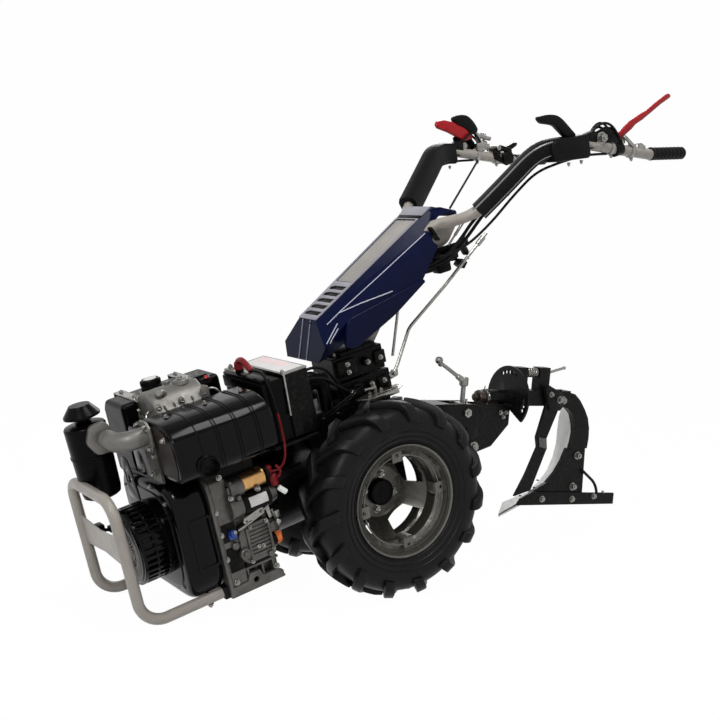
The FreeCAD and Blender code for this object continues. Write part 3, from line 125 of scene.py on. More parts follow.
@dataclass(frozen=True)
class Finish:
    """A surface as it was made: its colour, its gloss, and the grain and blotches in real sizes."""

    name: str
    slot: str
    colour: str
    worn: str
    roughness: float
    metallic: float = 0.0
    coat: float = 0.0
    specular: float = 0.5
    spread: float = 0.08
    grain: Grain = Grain.SMOOTH
    grain_mm: float = 1.5
    relief_mm: float = 0.05
    blotch_mm: float = 45.0
    wear: float = 0.35
    dust: float = 0.0
    dust_colour: str = "8d8578"

    def pattern(self, tree: Tree, place: Socket) -> Socket:
        """Return the height of the grain, from 0 to 1.

        Args:
            tree: the material's node tree.
            place: the object coordinates.

        Returns:
            The socket that carries the height.
        """
        scale = 1 / (self.grain_mm * MM)
        if self.grain is Grain.LEATHER:
            return add_node(tree, "TexVoronoi", {"Vector": place, "Scale": scale},
                            feature="SMOOTH_F1").outputs["Distance"]
        detail = 6.0 if self.grain is Grain.SAND else 2.0
        return add_node(tree, "TexNoise", {
            "Vector": place, "Scale": scale, "Detail": detail, "Roughness": 0.6}).outputs["Fac"]

    def material(self) -> bpy.types.Material:
        """Make the finish's material the first time it is asked for.

        Returns:
            The material.
        """
        made = bpy.data.materials.get(self.name)
        if made:
            return made
        made = bpy.data.materials.new(self.name)
        made.use_nodes = True
        tree = made.node_tree
        tree.nodes.clear()
        place = add_node(tree, "TexCoord").outputs["Object"]
        height = self.pattern(tree, place)
        blotch = add_node(tree, "TexNoise", {
            "Vector": place, "Scale": 1 / (self.blotch_mm * MM), "Detail": 5.0, "Roughness": 0.62}).outputs["Fac"]
        share = add_node(tree, "MapRange", {
            "Value": blotch, "From Min": 0.42, "From Max": 0.72, "To Max": self.wear}).outputs[0]
        colour = self.mixed(tree, share, linear(self.colour), linear(self.worn))
        if self.dust:
            # Fine dust lies in patches of about 12 mm.
            speck = add_node(tree, "TexNoise", {
                "Vector": place, "Scale": 1 / (12 * MM), "Detail": 8.0, "Roughness": 0.7}).outputs["Fac"]
            share = add_node(tree, "MapRange", {
                "Value": speck, "From Min": 0.5, "From Max": 0.8, "To Max": self.dust}).outputs[0]
            colour = self.mixed(tree, share, colour, linear(self.dust_colour))
        rough = add_node(tree, "MapRange", {
            "Value": blotch, "From Min": 0.3, "From Max": 0.7, "To Min": max(self.roughness - self.spread, 0.03),
            "To Max": min(self.roughness + self.spread, 1.0)}).outputs[0]
        bump = add_node(tree, "Bump", {
            "Height": height, "Distance": self.relief_mm * MM, "Strength": 1.0}).outputs[0]
        shader = add_node(tree, "BsdfPrincipled", {
            "Base Color": colour, "Roughness": rough, "Normal": bump, "Metallic": self.metallic,
            "Coat Weight": self.coat, "Coat Roughness": 0.12, "Specular IOR Level": self.specular})
        add_node(tree, "OutputMaterial", {"Surface": shader.outputs[0]})
        return made

    @staticmethod
    def mixed(tree: Tree, share: Socket, one: Source, two: Source) -> Socket:
        """Return the colour between two colours or sockets, by the share given."""
        return add_node(tree, "Mix", {0: share, 6: one, 7: two}, data_type="RGBA").outputs[2]


# Natural rubber tread compound: a deep grey-black with a matt bloom.
TYRE = Finish(
    "tyre_rubber", "tyre", "0a0a0b", "141415", 0.44, specular=0.15, grain=Grain.SAND, grain_mm=1.4, relief_mm=0.12,
    wear=0.6, dust=0.07, dust_colour="45423e")
# Silver wheel paint over rolled steel: satin, a little greyer where it is rubbed.
WHEEL = Finish(
    "wheel_silver_paint", "wheel_silver", "62605b", "4e4c47", 0.3, metallic=0.6, spread=0.1, grain_mm=2.2,
    relief_mm=0.03, wear=0.5, dust=0.14, dust_colour="5d5850")
# Satin black paint on turned iron: soft, wide highlights.
HUB = Finish("hub_black_paint", "hub_black", "080808", "101010", 0.4, specular=0.08, grain_mm=1.8, relief_mm=0.05)
# Black paint over a sand casting, whose grain shows through.
CASTING = Finish(
    "black_casting", "casting_black", "070707", "0d0d0e", 0.32, specular=0.08, grain=Grain.SAND, grain_mm=1.6,
    relief_mm=0.22, dust=0.08)
# Raw pressure die casting: grey, with a fine cold-flow mottle.
DIECAST = Finish(
    "raw_die_casting", "engine_iron", "5d5b58", "43413e", 0.42, metallic=0.7, spread=0.12, grain=Grain.SAND,
    grain_mm=1.8, relief_mm=0.16, wear=0.7, dust=0.22, dust_colour="4b4843")
# Raw sand-cast aluminium: brighter, with a rough grain.
ALUMINIUM = Finish(
    "sand_cast_aluminium", "cast_aluminium", "6f6d69", "55524e", 0.46, metallic=0.6, spread=0.12, grain=Grain.SAND,
    grain_mm=2.4, relief_mm=0.3, wear=0.6, dust=0.15, dust_colour="6a665e")
# Gloss black stove enamel on pressed sheet: dark, with sharp highlights.
SHROUD = Finish(
    "gloss_black_enamel", "shroud_black", "040405", "070708", 0.14, specular=0.1, coat=0.04, spread=0.05,
    grain_mm=9.0, relief_mm=0.06, blotch_mm=60, wear=0.5)
# Black moulded plastic: satin, with a faint moulding grain.
TANK = Finish(
    "satin_black_plastic", "tank_black", "060606", "0b0b0c", 0.26, specular=0.06, spread=0.06, grain_mm=1.2,
    relief_mm=0.05, wear=0.4)
# Bright zinc plate on steel: small bright highlights, a little clouded.
ZINC = Finish(
    "bright_zinc_plate", "zinc_plate", "95938f", "6f6d69", 0.28, metallic=0.95, spread=0.1, grain_mm=1.2,
    relief_mm=0.03, blotch_mm=14, wear=0.7)
# Yellow chromate on the starter's steel barrel: a warm gold sheen.
GOLD = Finish("yellow_chromate", "starter_gold", "c79a63", "a67a48", 0.3, metallic=0.9, spread=0.08, blotch_mm=18)
# Orange moulded nylon: bright, with a satin shine.
ORANGE = Finish("orange_plastic", "orange_plastic", "d9471b", "b83a17", 0.36, grain_mm=1.0, relief_mm=0.03)
# Warm grey stove paint on round tube: long satin highlights.
TUBE = Finish(
    "warm_grey_paint", "grey_tube", "948e87", "847e77", 0.34, specular=0.35, coat=0.05, spread=0.06, grain_mm=3.0,
    relief_mm=0.03, wear=0.4)
# Gloss navy ABS moulding: deep, with clear highlights.
NAVY = Finish(
    "gloss_navy_plastic", "hood_navy", "090f2c", "0c1434", 0.2, specular=0.07, spread=0.05, grain_mm=4.0,
    relief_mm=0.04, blotch_mm=90, wear=0.3)
# Matt black moulding with a leather grain, which breaks up the highlights.
COVER = Finish(
    "matt_black_moulding", "cover_plastic", "090909", "101011", 0.44, specular=0.09, grain=Grain.LEATHER,
    grain_mm=1.4, relief_mm=0.12, wear=0.4)
# Soft black rubber: hardly any shine.
GRIP = Finish(
    "soft_black_rubber", "grip_rubber", "0a0a0b", "121213", 0.5, specular=0.1, grain=Grain.SAND, grain_mm=0.9,
    relief_mm=0.08, wear=0.5)
# Red moulded nylon: an even colour with a satin shine.
RED = Finish(
    "red_plastic", "lever_red", "9a151b", "821017", 0.3, specular=0.25, spread=0.05, grain_mm=2.0, relief_mm=0.03)
# Soft red vinyl boots and sleeves: deeper and duller than the levers.
VINYL = Finish(
    "soft_red_vinyl", "lever_red", "74141a", "5c1015", 0.42, specular=0.2, spread=0.06, grain_mm=2.0, relief_mm=0.03)
# Satin black powder coat on steel: a fine orange peel.
PLOUGH = Finish(
    "satin_black_powder", "plough_black", "0a0a0b", "121212", 0.38, specular=0.12, grain=Grain.SAND, grain_mm=1.1,
    relief_mm=0.12, wear=0.5, dust=0.08)
# White-grey primer on steel: flat and pale.
BOARD = Finish(
    "white_grey_paint", "mould_white", "e3e4e1", "cfd0cd", 0.4, spread=0.08, grain_mm=3.0, relief_mm=0.05, wear=0.6)
# Light grey ABS moulding, the hood's lid: even and satin.
LID = Finish(
    "light_grey_plastic", "hood_navy", "85838c", "7a7881", 0.34, specular=0.3, spread=0.06, grain_mm=1.6,
    relief_mm=0.05)
# Label film, left blank: pale and even.
LABEL = Finish("blank_label", "zinc_plate", "c9c8c6", "b4b3b1", 0.4, spread=0.05, grain_mm=2.0, relief_mm=0.02)
# Grey satin paint on die castings: the grain still shows through.
HOUSING = Finish(
    "grey_housing_paint", "engine_iron", "35332f", "282623", 0.36, metallic=0.3, specular=0.2, grain=Grain.SAND,
    grain_mm=2.0, relief_mm=0.1, dust=0.1)
# Blue moulded nylon: bright, with a satin shine.
BLUE = Finish("blue_plastic", "orange_plastic", "1c3c8c", "16306e", 0.32, grain_mm=1.0, relief_mm=0.03)
# Black paint by the exhaust port, blotched brown by the heat.
RUSTY = Finish(
    "heat_browned_paint", "shroud_black", "120e0d", "2a1713", 0.42, specular=0.2, grain=Grain.SAND, grain_mm=2.0,
    relief_mm=0.1, blotch_mm=30, wear=0.7)
# Pale printed patch of a label, left blank.
PINK = Finish("pale_patch", "zinc_plate", "d8c2c1", "cbb1b0", 0.45, spread=0.05, grain_mm=2.0, relief_mm=0.02)
# Textured film on the hood's inset: a dull warm grey.
INSET = Finish(
    "warm_grey_film", "hood_navy", "8b8783", "7f7b77", 0.38, specular=0.3, spread=0.05, grain=Grain.SAND,
    grain_mm=1.6, relief_mm=0.05)
# Pale metallic lines along the hood's folds: painted highlight on the fold edges.
FOLD_HIGHLIGHT = Finish("painted_fold_highlight", "hood_navy", "b9bccb", "a6a9b8", 0.3, metallic=0.3, spread=0.05)
# Light grey strips along the moulded cover's edges: painted highlight on its ridges.
COVER_HIGHLIGHT = Finish("cover_joint", "cover_plastic", "6f6f70", "5a5a5b", 0.3, spread=0.05)
# Machined steel, dull and a little oiled.
STEEL = Finish(
    "dull_steel", "zinc_plate", "8f8d89", "6e6b67", 0.38, metallic=0.85, spread=0.1, grain=Grain.SAND, grain_mm=1.4,
    relief_mm=0.06, blotch_mm=16, wear=0.7)
# Oiled bronze of the shaft's nut: dark brown, with dull gleams.
BRONZE = Finish(
    "oiled_bronze", "zinc_plate", "453a33", "2c2622", 0.38, metallic=0.6, spread=0.1, blotch_mm=10, wear=0.7)
# Black paint worn through to steel: grey, with black patches. On the coulter the same grey is a painted highlight
# where it twists.
WORN_AND_HIGHLIGHT = Finish(
    "worn_paint_and_highlight", "plough_black", "5a5a58", "2d2d2c", 0.35, metallic=0.5, spread=0.1, blotch_mm=8, wear=0.9)


# ---- forms


def add_object(name: str, data: bpy.types.ID) -> bpy.types.Object:
    """Put an object in the scene.

    Args:
        name: the object's name.
        data: what it shows.

    Returns:
        The object.
    """
    made = bpy.data.objects.new(name, data)
    bpy.context.scene.collection.objects.link(made)
    return made


class Axis(Enum):
    """An axis of a form's frame."""

    X = "X"
    Y = "Y"
    Z = "Z"


class Plane(Enum):
    """The two directions of a form's frame that a slab's x and y run along. Its thickness is along the third."""

    XZ = "XZ"
    YZ = "YZ"
    XY = "XY"


X, Y, Z = Axis
XZ, YZ, XY = Plane
AXES = {X: Matrix.Rotation(math.pi / 2, 4, "Y"), Y: Matrix.Rotation(-math.pi / 2, 4, "X"),
        Z: Matrix.Identity(4)}
PLANES = {XZ: Matrix(((1, 0, 0, 0), (0, 0, -1, 0), (0, 1, 0, 0), (0, 0, 0, 1))),
          YZ: Matrix(((0, 0, 1, 0), (1, 0, 0, 0), (0, 1, 0, 0), (0, 0, 0, 1))),
          XY: Matrix.Identity(4)}


def turn_to(direction: Point, start: Point = (0, 0, 0)) -> Matrix:
    """Return the matrix that takes local Z to a direction and the origin to a start."""
    return Matrix.Translation(start) @ Vector(direction).to_track_quat("Z", "Y").to_matrix().to_4x4()


def circle(x: float, y: float, radius: float, steps: int = 24) -> list[tuple[float, float]]:
    """Return the corners of a round outline."""
    return [(x + radius * math.cos(TAU * i / steps), y + radius * math.sin(TAU * i / steps)) for i in range(steps)]


def fillet(outline: Outline, radius: float, steps: int = 5) -> list[Vector]:
    """Return an outline with its corners rounded.

    Args:
        outline: the corners.
        radius: how far from a corner its rounding starts, at most.
        steps: the runs in each rounding.

    Returns:
        The new outline.
    """
    made = []
    for index, place in enumerate(outline):
        corner = Vector(place)
        before, after = Vector(outline[index - 1]) - corner, Vector(outline[(index + 1) % len(outline)]) - corner
        cut = min(radius, before.length * 0.46, after.length * 0.46)
        one, two = corner + before.normalized() * cut, corner + after.normalized() * cut
        for step in range(steps + 1):
            share = step / steps
            made.append(one.lerp(corner, share).lerp(corner.lerp(two, share), share))
    return made


class Form:
    """A mesh under construction, in millimetres in a frame of its own, with the tools that shape it."""

    def __init__(self, place: Matrix, body: str) -> None:
        """Start an empty form.

        Args:
            place: the matrix from the form's frame, in millimetres, to the model's, in metres.
            body: the body that its piece will ride on.
        """
        self.mesh = bmesh.new()
        self.place = place
        self.body = body

    def take(self, part: BMesh, at: Matrix = Matrix.Identity(4)) -> "Form":
        """Merge a part in, moved by a matrix, and free it.

        Args:
            part: the part's own bmesh.
            at: where it goes.

        Returns:
            This form.
        """
        bmesh.ops.transform(part, matrix=at, verts=part.verts)
        if at.determinant() < 0:
            bmesh.ops.reverse_faces(part, faces=part.faces)
        held = bpy.data.meshes.new("part")
        part.to_mesh(held)
        part.free()
        self.mesh.from_mesh(held)
        bpy.data.meshes.remove(held)
        return self

    @staticmethod
    def soften(part: BMesh, width: float, least: float = 30, segments: int = 2) -> None:
        """Round off a part's sharp edges.

        Args:
            part: the part.
            width: the width of the rounding, in millimetres.
            least: the smallest angle, in degrees, that counts as sharp.
            segments: the faces across the rounding.
        """
        if width <= 0:
            return
        sharp = [e for e in part.edges if len(e.link_faces) == 2 and e.calc_face_angle(0) > math.radians(least)]
        bmesh.ops.bevel(part, geom=sharp, offset=width, offset_type="OFFSET", segments=segments, profile=0.5,
                        affect="EDGES", clamp_overlap=True, material=-1)

    def block(self, low: Point, high: Point, soft: float = 1.0, at: Matrix = Matrix.Identity(4)) -> "Form":
        """Add a block with its edges rounded.

        Args:
            low: its lowest corner.
            high: its highest corner.
            soft: the rounding of its edges.
            at: a last placement in the form's frame.

        Returns:
            This form.
        """
        part = bmesh.new()
        bmesh.ops.create_cube(part, size=1)
        size, middle = Vector(high) - Vector(low), (Vector(high) + Vector(low)) / 2
        bmesh.ops.scale(part, vec=size, verts=part.verts)
        bmesh.ops.translate(part, vec=middle, verts=part.verts)
        self.soften(part, soft)
        return self.take(part, at)

    def slab(self, outline: Outline, low: float, high: float, plane: Plane = XZ, soft: float = 1.0,
             holes: Sequence[Outline] = (), at: Matrix = Matrix.Identity(4)) -> "Form":
        """Add a plate of an outline, with holes through it.

        Args:
            outline: the corners, in the plane's two directions.
            low: where its thickness starts, along the third direction.
            high: where it ends.
            plane: the plane it lies in.
            soft: the rounding of its edges.
            holes: more outlines, cut through.
            at: a last placement in the form's frame.

        Returns:
            This form.
        """
        part = bmesh.new()
        edges = []
        for loop in (outline, *holes):
            spots = [part.verts.new((p[0], p[1], 0)) for p in loop]
            edges += [part.edges.new((spots[i - 1], spots[i])) for i in range(len(spots))]
        bmesh.ops.triangle_fill(part, use_beauty=True, use_dissolve=False, edges=edges)
        bmesh.ops.dissolve_limit(part, angle_limit=0.01, verts=part.verts, edges=part.edges)
        lifted = bmesh.ops.extrude_face_region(part, geom=part.faces[:])
        bmesh.ops.translate(part, vec=(0, 0, high - low),
                            verts=[g for g in lifted["geom"] if isinstance(g, bmesh.types.BMVert)])
        bmesh.ops.translate(part, vec=(0, 0, low), verts=part.verts)
        bmesh.ops.recalc_face_normals(part, faces=part.faces)
        self.soften(part, soft, 40, 2 if soft < 5 else 5)
        turn = PLANES[plane]
        if plane == XZ:
            bmesh.ops.scale(part, vec=(1, 1, -1), verts=part.verts)
            bmesh.ops.reverse_faces(part, faces=part.faces)
        return self.take(part, at @ turn)

    def lathe(self, profile: Outline, axis: Axis = Z, centre: Point = (0, 0, 0), steps: int = 64,
              at: Matrix = Matrix.Identity(4)) -> "Form":
        """Spin a profile once round an axis.

        Args:
            profile: points as (distance along the axis, radius).
            axis: the axis to spin round.
            centre: a point on the axis.
            steps: faces round it.
            at: a last placement in the form's frame.

        Returns:
            This form.
        """
        part = bmesh.new()
        spots = [part.verts.new((radius, 0, along)) for along, radius in profile]
        for pair in zip(spots, spots[1:]):
            part.edges.new(pair)
        if (Vector(profile[0]) - Vector(profile[-1])).length < 1e-6:
            bmesh.ops.remove_doubles(part, verts=part.verts, dist=1e-5)
        bmesh.ops.spin(part, geom=part.verts[:] + part.edges[:], cent=(0, 0, 0), axis=(0, 0, 1), angle=TAU,
                       steps=steps, use_merge=True, use_duplicate=False)
        bmesh.ops.remove_doubles(part, verts=part.verts, dist=1e-4)
        bmesh.ops.recalc_face_normals(part, faces=part.faces)
        return self.take(part, at @ Matrix.Translation(centre) @ AXES[axis])

    def rod(self, start: Point, end: Point, radius: float, sides: int = 20, far: Optional[float] = None,
            soft: float = 0.6) -> "Form":
        """Add a round bar between two points.

        Args:
            start: the middle of its first end.
            end: the middle of its last end.
            radius: its radius.
            sides: the faces round it.
            far: its radius at the last end, where it tapers.
            soft: the rounding of its ends.

        Returns:
            This form.
        """
        part = bmesh.new()
        run = Vector(end) - Vector(start)
        bmesh.ops.create_cone(part, cap_ends=True, segments=sides, radius1=radius,
                              radius2=radius if far is None else far, depth=run.length)
        bmesh.ops.translate(part, vec=(0, 0, run.length / 2), verts=part.verts)
        self.soften(part, soft, 50, 1)
        return self.take(part, turn_to(run, start))

    def ball(self, centre: Point, radius: float, stretch: Point = (1, 1, 1)) -> "Form":
        """Add a ball.

        Args:
            centre: its middle.
            radius: its radius.
            stretch: how much it is stretched along each axis.

        Returns:
            This form.
        """
        part = bmesh.new()
        bmesh.ops.create_uvsphere(part, u_segments=20, v_segments=12, radius=radius)
        bmesh.ops.scale(part, vec=stretch, verts=part.verts)
        return self.take(part, Matrix.Translation(centre))

    def bolt(self, centre: Point, direction: Point, across: float = 13.0, height: float = 6.0,
             washer: float = 1.6) -> "Form":
        """Add a hexagon head on a washer, seated on a face at a centre and looking along a direction.

        Args:
            centre: the seat's middle.
            direction: outwards from the face.
            across: the head's size across its flats.
            height: the head's height.
            washer: the washer's thickness, or none.

        Returns:
            This form.
        """
        seat = turn_to(direction, centre)
        if washer:
            part = bmesh.new()
            bmesh.ops.create_cone(part, cap_ends=True, segments=24, radius1=across * 0.78, radius2=across * 0.78,
                                  depth=washer)
            bmesh.ops.translate(part, vec=(0, 0, washer / 2), verts=part.verts)
            self.soften(part, 0.4, 50, 1)
            self.take(part, seat)
        part = bmesh.new()
        radius = across / math.sqrt(3)
        bmesh.ops.create_cone(part, cap_ends=True, segments=6, radius1=radius, radius2=radius, depth=height)
        bmesh.ops.translate(part, vec=(0, 0, washer + height / 2), verts=part.verts)
        self.soften(part, across * 0.07, 50, 2)
        self.take(part, seat)
        part = bmesh.new()
        bmesh.ops.create_cone(part, cap_ends=True, segments=16, radius1=across * 0.3, radius2=across * 0.27,
                              depth=height * 0.5)
        bmesh.ops.translate(part, vec=(0, 0, washer + height * 1.15), verts=part.verts)
        return self.take(part, seat)

    def bolts(self, centres: Iterable[Point], direction: Point, across: float = 13.0, height: float = 6.0,
              washer: float = 1.6) -> "Form":
        """Add the same bolt at each of several centres.

        Args:
            centres: the middles of the seats.
            direction, across, height, washer: as for one bolt.

        Returns:
            This form.
        """
        for centre in centres:
            self.bolt(centre, direction, across, height, washer)
        return self

    def pipe(self, points: Outline, radius: float, order: int = 3, sides: int = 4) -> "Form":
        """Add a round tube along one smooth line that the points steer.

        Args:
            points: the line's control points.
            radius: the tube's radius.
            order: the line's order; 2 is straight runs.
            sides: the bevel's fineness.

        Returns:
            This form.
        """
        line = self.line(points, order)
        line.bevel_depth, line.bevel_resolution = radius, sides
        part = self.mesh_of(line)
        bmesh.ops.recalc_face_normals(part, faces=part.faces)
        return self.take(part)

    def sweep(self, points: Outline, section: Outline, order: int = 3) -> "Form":
        """Add a bar of a given section along one smooth line that the points steer.

        Args:
            points: the line's control points.
            section: the section's corners.
            order: the line's order.

        Returns:
            This form.
        """
        rail = self.mesh_of(self.line(points, order))
        spots = [vert.co.copy() for vert in rail.verts]
        rail.free()
        part = bmesh.new()
        corners = [part.verts.new((x, y, 0)) for x, y in section]
        outline = [part.edges.new((corners[i - 1], corners[i])) for i in range(len(corners))]
        end = bmesh.ops.contextual_create(part, geom=outline)["faces"][0]
        last = None
        for before, here, after in zip(spots[:1] + spots, spots, spots[1:] + spots[-1:]):
            ahead = (after - before).normalized()
            across = ahead.cross(Vector((0, 0, 1))).normalized()
            turn = Matrix((across, across.cross(ahead), -ahead)).transposed().to_4x4()
            place = Matrix.Translation(here) @ turn
            if last:
                grown = bmesh.ops.extrude_face_region(part, geom=[end])["geom"]
                end = next(g for g in grown if isinstance(g, bmesh.types.BMFace))
                bmesh.ops.transform(part, matrix=place @ last.inverted(), verts=end.verts[:])
            else:
                bmesh.ops.transform(part, matrix=place, verts=end.verts[:])
            last = place
        bmesh.ops.recalc_face_normals(part, faces=part.faces)
        return self.take(part)

    @staticmethod
    def line(points: Outline, order: int) -> bpy.types.Curve:
        """Return a curve of one spline.

        Args:
            points: its control points.
            order: its order.

        Returns:
            The curve's data.
        """
        line = bpy.data.curves.new("line", "CURVE")
        line.dimensions, line.use_fill_caps, line.resolution_u = "3D", True, 10
        spline = line.splines.new("NURBS")
        spline.points.add(len(points) - 1)
        for spot, place in zip(spline.points, points):
            spot.co = (*place, 1)
        spline.order_u, spline.use_endpoint_u = order, True
        return line

    @staticmethod
    def mesh_of(line: bpy.types.Curve) -> BMesh:
        """Make a curve a mesh, and remove the curve.

        Args:
            line: the curve's data.

        Returns:
            The mesh, with its doubles merged.
        """
        held = bpy.data.objects.new("line", line)
        made = bpy.data.meshes.new_from_object(held)
        part = bmesh.new()
        part.from_mesh(made)
        bmesh.ops.remove_doubles(part, verts=part.verts, dist=1e-4)
        bpy.data.objects.remove(held)
        bpy.data.meshes.remove(made)
        bpy.data.curves.remove(line)
        return part

    def cut(self, tool: "Form") -> "Form":
        """Cut another form out of this one.

        Args:
            tool: the form to cut away, in the same frame; it is used up.

        Returns:
            This form.
        """
        held = []
        for mesh in (self.mesh, tool.mesh):
            data = bpy.data.meshes.new("cut")
            mesh.to_mesh(data)
            mesh.free()
            held.append(add_object("cut", data))
        step = held[0].modifiers.new("cut", "BOOLEAN")
        step.operation, step.solver, step.object = "DIFFERENCE", "EXACT", held[1]
        bpy.context.view_layer.update()
        seen = held[0].evaluated_get(bpy.context.evaluated_depsgraph_get())
        self.mesh = bmesh.new()
        self.mesh.from_mesh(seen.to_mesh())
        seen.to_mesh_clear()
        for thing in held:
            data = thing.data
            bpy.data.objects.remove(thing)
            bpy.data.meshes.remove(data)
        return self

    def again(self, places: Iterable[Matrix]) -> "Form":
        """Repeat what the form holds now, and keep the first.

        Args:
            places: where each copy goes.

        Returns:
            This form.
        """
        held = bpy.data.meshes.new("again")
        self.mesh.to_mesh(held)
        for place in places:
            part = bmesh.new()
            part.from_mesh(held)
            self.take(part, place)
        bpy.data.meshes.remove(held)
        return self

    def copy_of(self, node: str, flat: float = 1.0) -> "Form":
        """Take in a copy of a node of the frame, merged and with its flat faces joined.

        Args:
            node: the node's name.
            flat: the largest angle, in degrees, that joins faces.

        Returns:
            This form.
        """
        part = bmesh.new()
        part.from_mesh(bpy.data.objects[node].data)
        bmesh.ops.remove_doubles(part, verts=part.verts, dist=1e-6)
        bmesh.ops.dissolve_limit(part, angle_limit=math.radians(flat), verts=part.verts, edges=part.edges)
        return self.take(part, self.place.inverted())

    def piece(self, name: str, finish: Finish, stands_for: Sequence[str] = (), smooth: float = 34,
              soft: float = 0.0) -> bpy.types.Object:
        """Make the form a piece of the model.

        Args:
            name: the piece's name.
            finish: what it is made of.
            stands_for: the frame's nodes that it replaces.
            smooth: the angle, in degrees, past which an edge stays crisp.
            soft: the width of a last rounding of its edges, in millimetres.

        Returns:
            The new object.
        """
        bmesh.ops.transform(self.mesh, matrix=self.place, verts=self.mesh.verts)
        if self.place.determinant() < 0:
            bmesh.ops.reverse_faces(self.mesh, faces=self.mesh.faces)
        data = bpy.data.meshes.new(name)
        self.mesh.to_mesh(data)
        self.mesh.free()
        data.polygons.foreach_set("use_smooth", [True] * len(data.polygons))
        data.set_sharp_from_angle(angle=math.radians(smooth))
        data.materials.append(finish.material())
        made = add_object(name, data)
        if soft:
            edge = made.modifiers.new("soft_edges", "BEVEL")
            edge.width, edge.segments, edge.limit_method = soft * MM, 2, "ANGLE"
            edge.angle_limit, edge.harden_normals = math.radians(30), True
        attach(made, self.body)
        if stands_for:
            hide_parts(*stands_for)
        LOG.info("%s rides on %s", name, self.body)
        return made


def dress(node: str, finish: Finish) -> None:
    """Give a node of the frame a finish of its own.

    Args:
        node: the node's name.
        finish: what it is made of.
    """
    kept = bpy.data.objects[node]
    kept.data.materials.clear()
    kept.data.materials.append(finish.material())


def polar(count: int, axis: Axis = Y, start: float = 0.0) -> list[Matrix]:
    """Return the turns, in equal steps, that repeat something round an axis."""
    return [Matrix.Rotation(math.radians(start) + TAU * i / count, 4, axis.value) for i in range(count)]


def about(centre: Point, turn: Matrix) -> Matrix:
    """Return a turn carried out round a centre."""
    return Matrix.Translation(centre) @ turn @ Matrix.Translation(-Vector(centre))


def ringed(centre: Point, count: int, axis: Axis) -> list[Matrix]:
    """Return the turns that repeat something round a centre, without the first."""
    return [about(centre, turn) for turn in polar(count, axis)[1:]]


# ---- frames


class Side(Enum):
    """A side of the machine, as the sign of its Y."""

    LEFT = 1
    RIGHT = -1

    @property
    def word(self) -> str:
        """The side's name in node names."""
        return self.name.lower()


@dataclass(frozen=True)
class Frames:
    """The machine's own frames as matrices from millimetres to the model's metres."""

    machine: Matrix
    shaft: Matrix
    axle: Vector

    @property
    def radius(self) -> float:
        """The axle's height over the ground, in millimetres."""
        return self.axle.z / MM

    @classmethod
    def read(cls, joints: Sequence[dict]) -> "Frames":
        """Read the frames from the joints.

        Args:
            joints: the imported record's joints.

        Returns:
            The level machine's frame, with the axle above its origin, and the plough shaft's frame.
        """
        found = {joint["name"]: joint for joint in joints}
        axle = Vector(found["wheel_left_spin"]["pos_m"])
        upright = found["handlebar_swing"]["axis"]
        pitch = math.atan2(upright[0], upright[2])
        machine = (Matrix.Translation((axle.x, 0, axle.z)) @ Matrix.Rotation(pitch, 4, "Y")
                   @ Matrix.Scale(MM, 4) @ Matrix.Translation((0, 0, -axle.z / MM)))
        ahead = Vector(found["plough_turn"]["axis"])
        tilt = math.atan2(-ahead.z, ahead.x)
        shaft = (Matrix.Translation(found["plough_turn"]["pos_m"]) @ Matrix.Rotation(tilt, 4, "Y")
                 @ Matrix.Scale(MM, 4))
        return cls(machine, shaft, axle)


@dataclass
class Assembly:
    """A sub-assembly that builds pieces in one frame, on one body. Its sizes are its fields, in millimetres."""

    frames: Frames
    body: ClassVar[str] = "chassis"

    def __post_init__(self) -> None:
        """Set the frame to build in, from millimetres to metres."""
        self.place = self.frames.machine

    def form(self, at: Matrix = Matrix.Identity(4)) -> Form:
        """Start a form in the sub-assembly's frame, or in another frame placed in it."""
        return Form(self.place @ at, self.body)

    def refine(self, node: str, finish: Finish, soft: float = 1.0, smooth: float = 34) -> None:
        """Replace a node with a copy of itself that has rounded edges and smooth rounds."""
        self.form().copy_of(node).piece(node + "_shape", finish, [node], smooth, soft)

    def build(self) -> None:
        """Build every piece."""
        raise NotImplementedError


# ---- wheels


@dataclass(frozen=True)
class TyreShape:
    """A farm tyre's casing and its bars, in millimetres: outwards along Y, and out from the axle."""

    crown: float = 273
    bars: int = 15
    bar_height: float = 21
    bar_width: float = 31
    bar_sweep: float = 82
    overlap: float = 7
    reach: float = 98
    casing: Outline = (
        (0, 273), (24, 272.6), (45, 270.5), (60, 265), (70, 256), (76.5, 244), (79.5, 229), (79.5, 214), (77, 200),
        (72, 186), (66, 174), (62.5, 167))

    def along(self, distance: float) -> tuple[Vector, Vector]:
        """Return the casing's point and outward direction at a distance from the crown line.

        Args:
            distance: along the casing's surface.

        Returns:
            The point and the direction, each as (y, radius).
        """
        left = distance
        for start, end in zip(self.casing, self.casing[1:]):
            run = Vector(end) - Vector(start)
            if left <= run.length or end == self.casing[-1]:
                out = Vector((-run.y, run.x)).normalized()
                return Vector(start) + run.normalized() * left, -out if out.dot(Vector((1, 0.4))) < 0 else out
            left -= run.length
        return Vector(self.casing[-1]), Vector((1, 0))


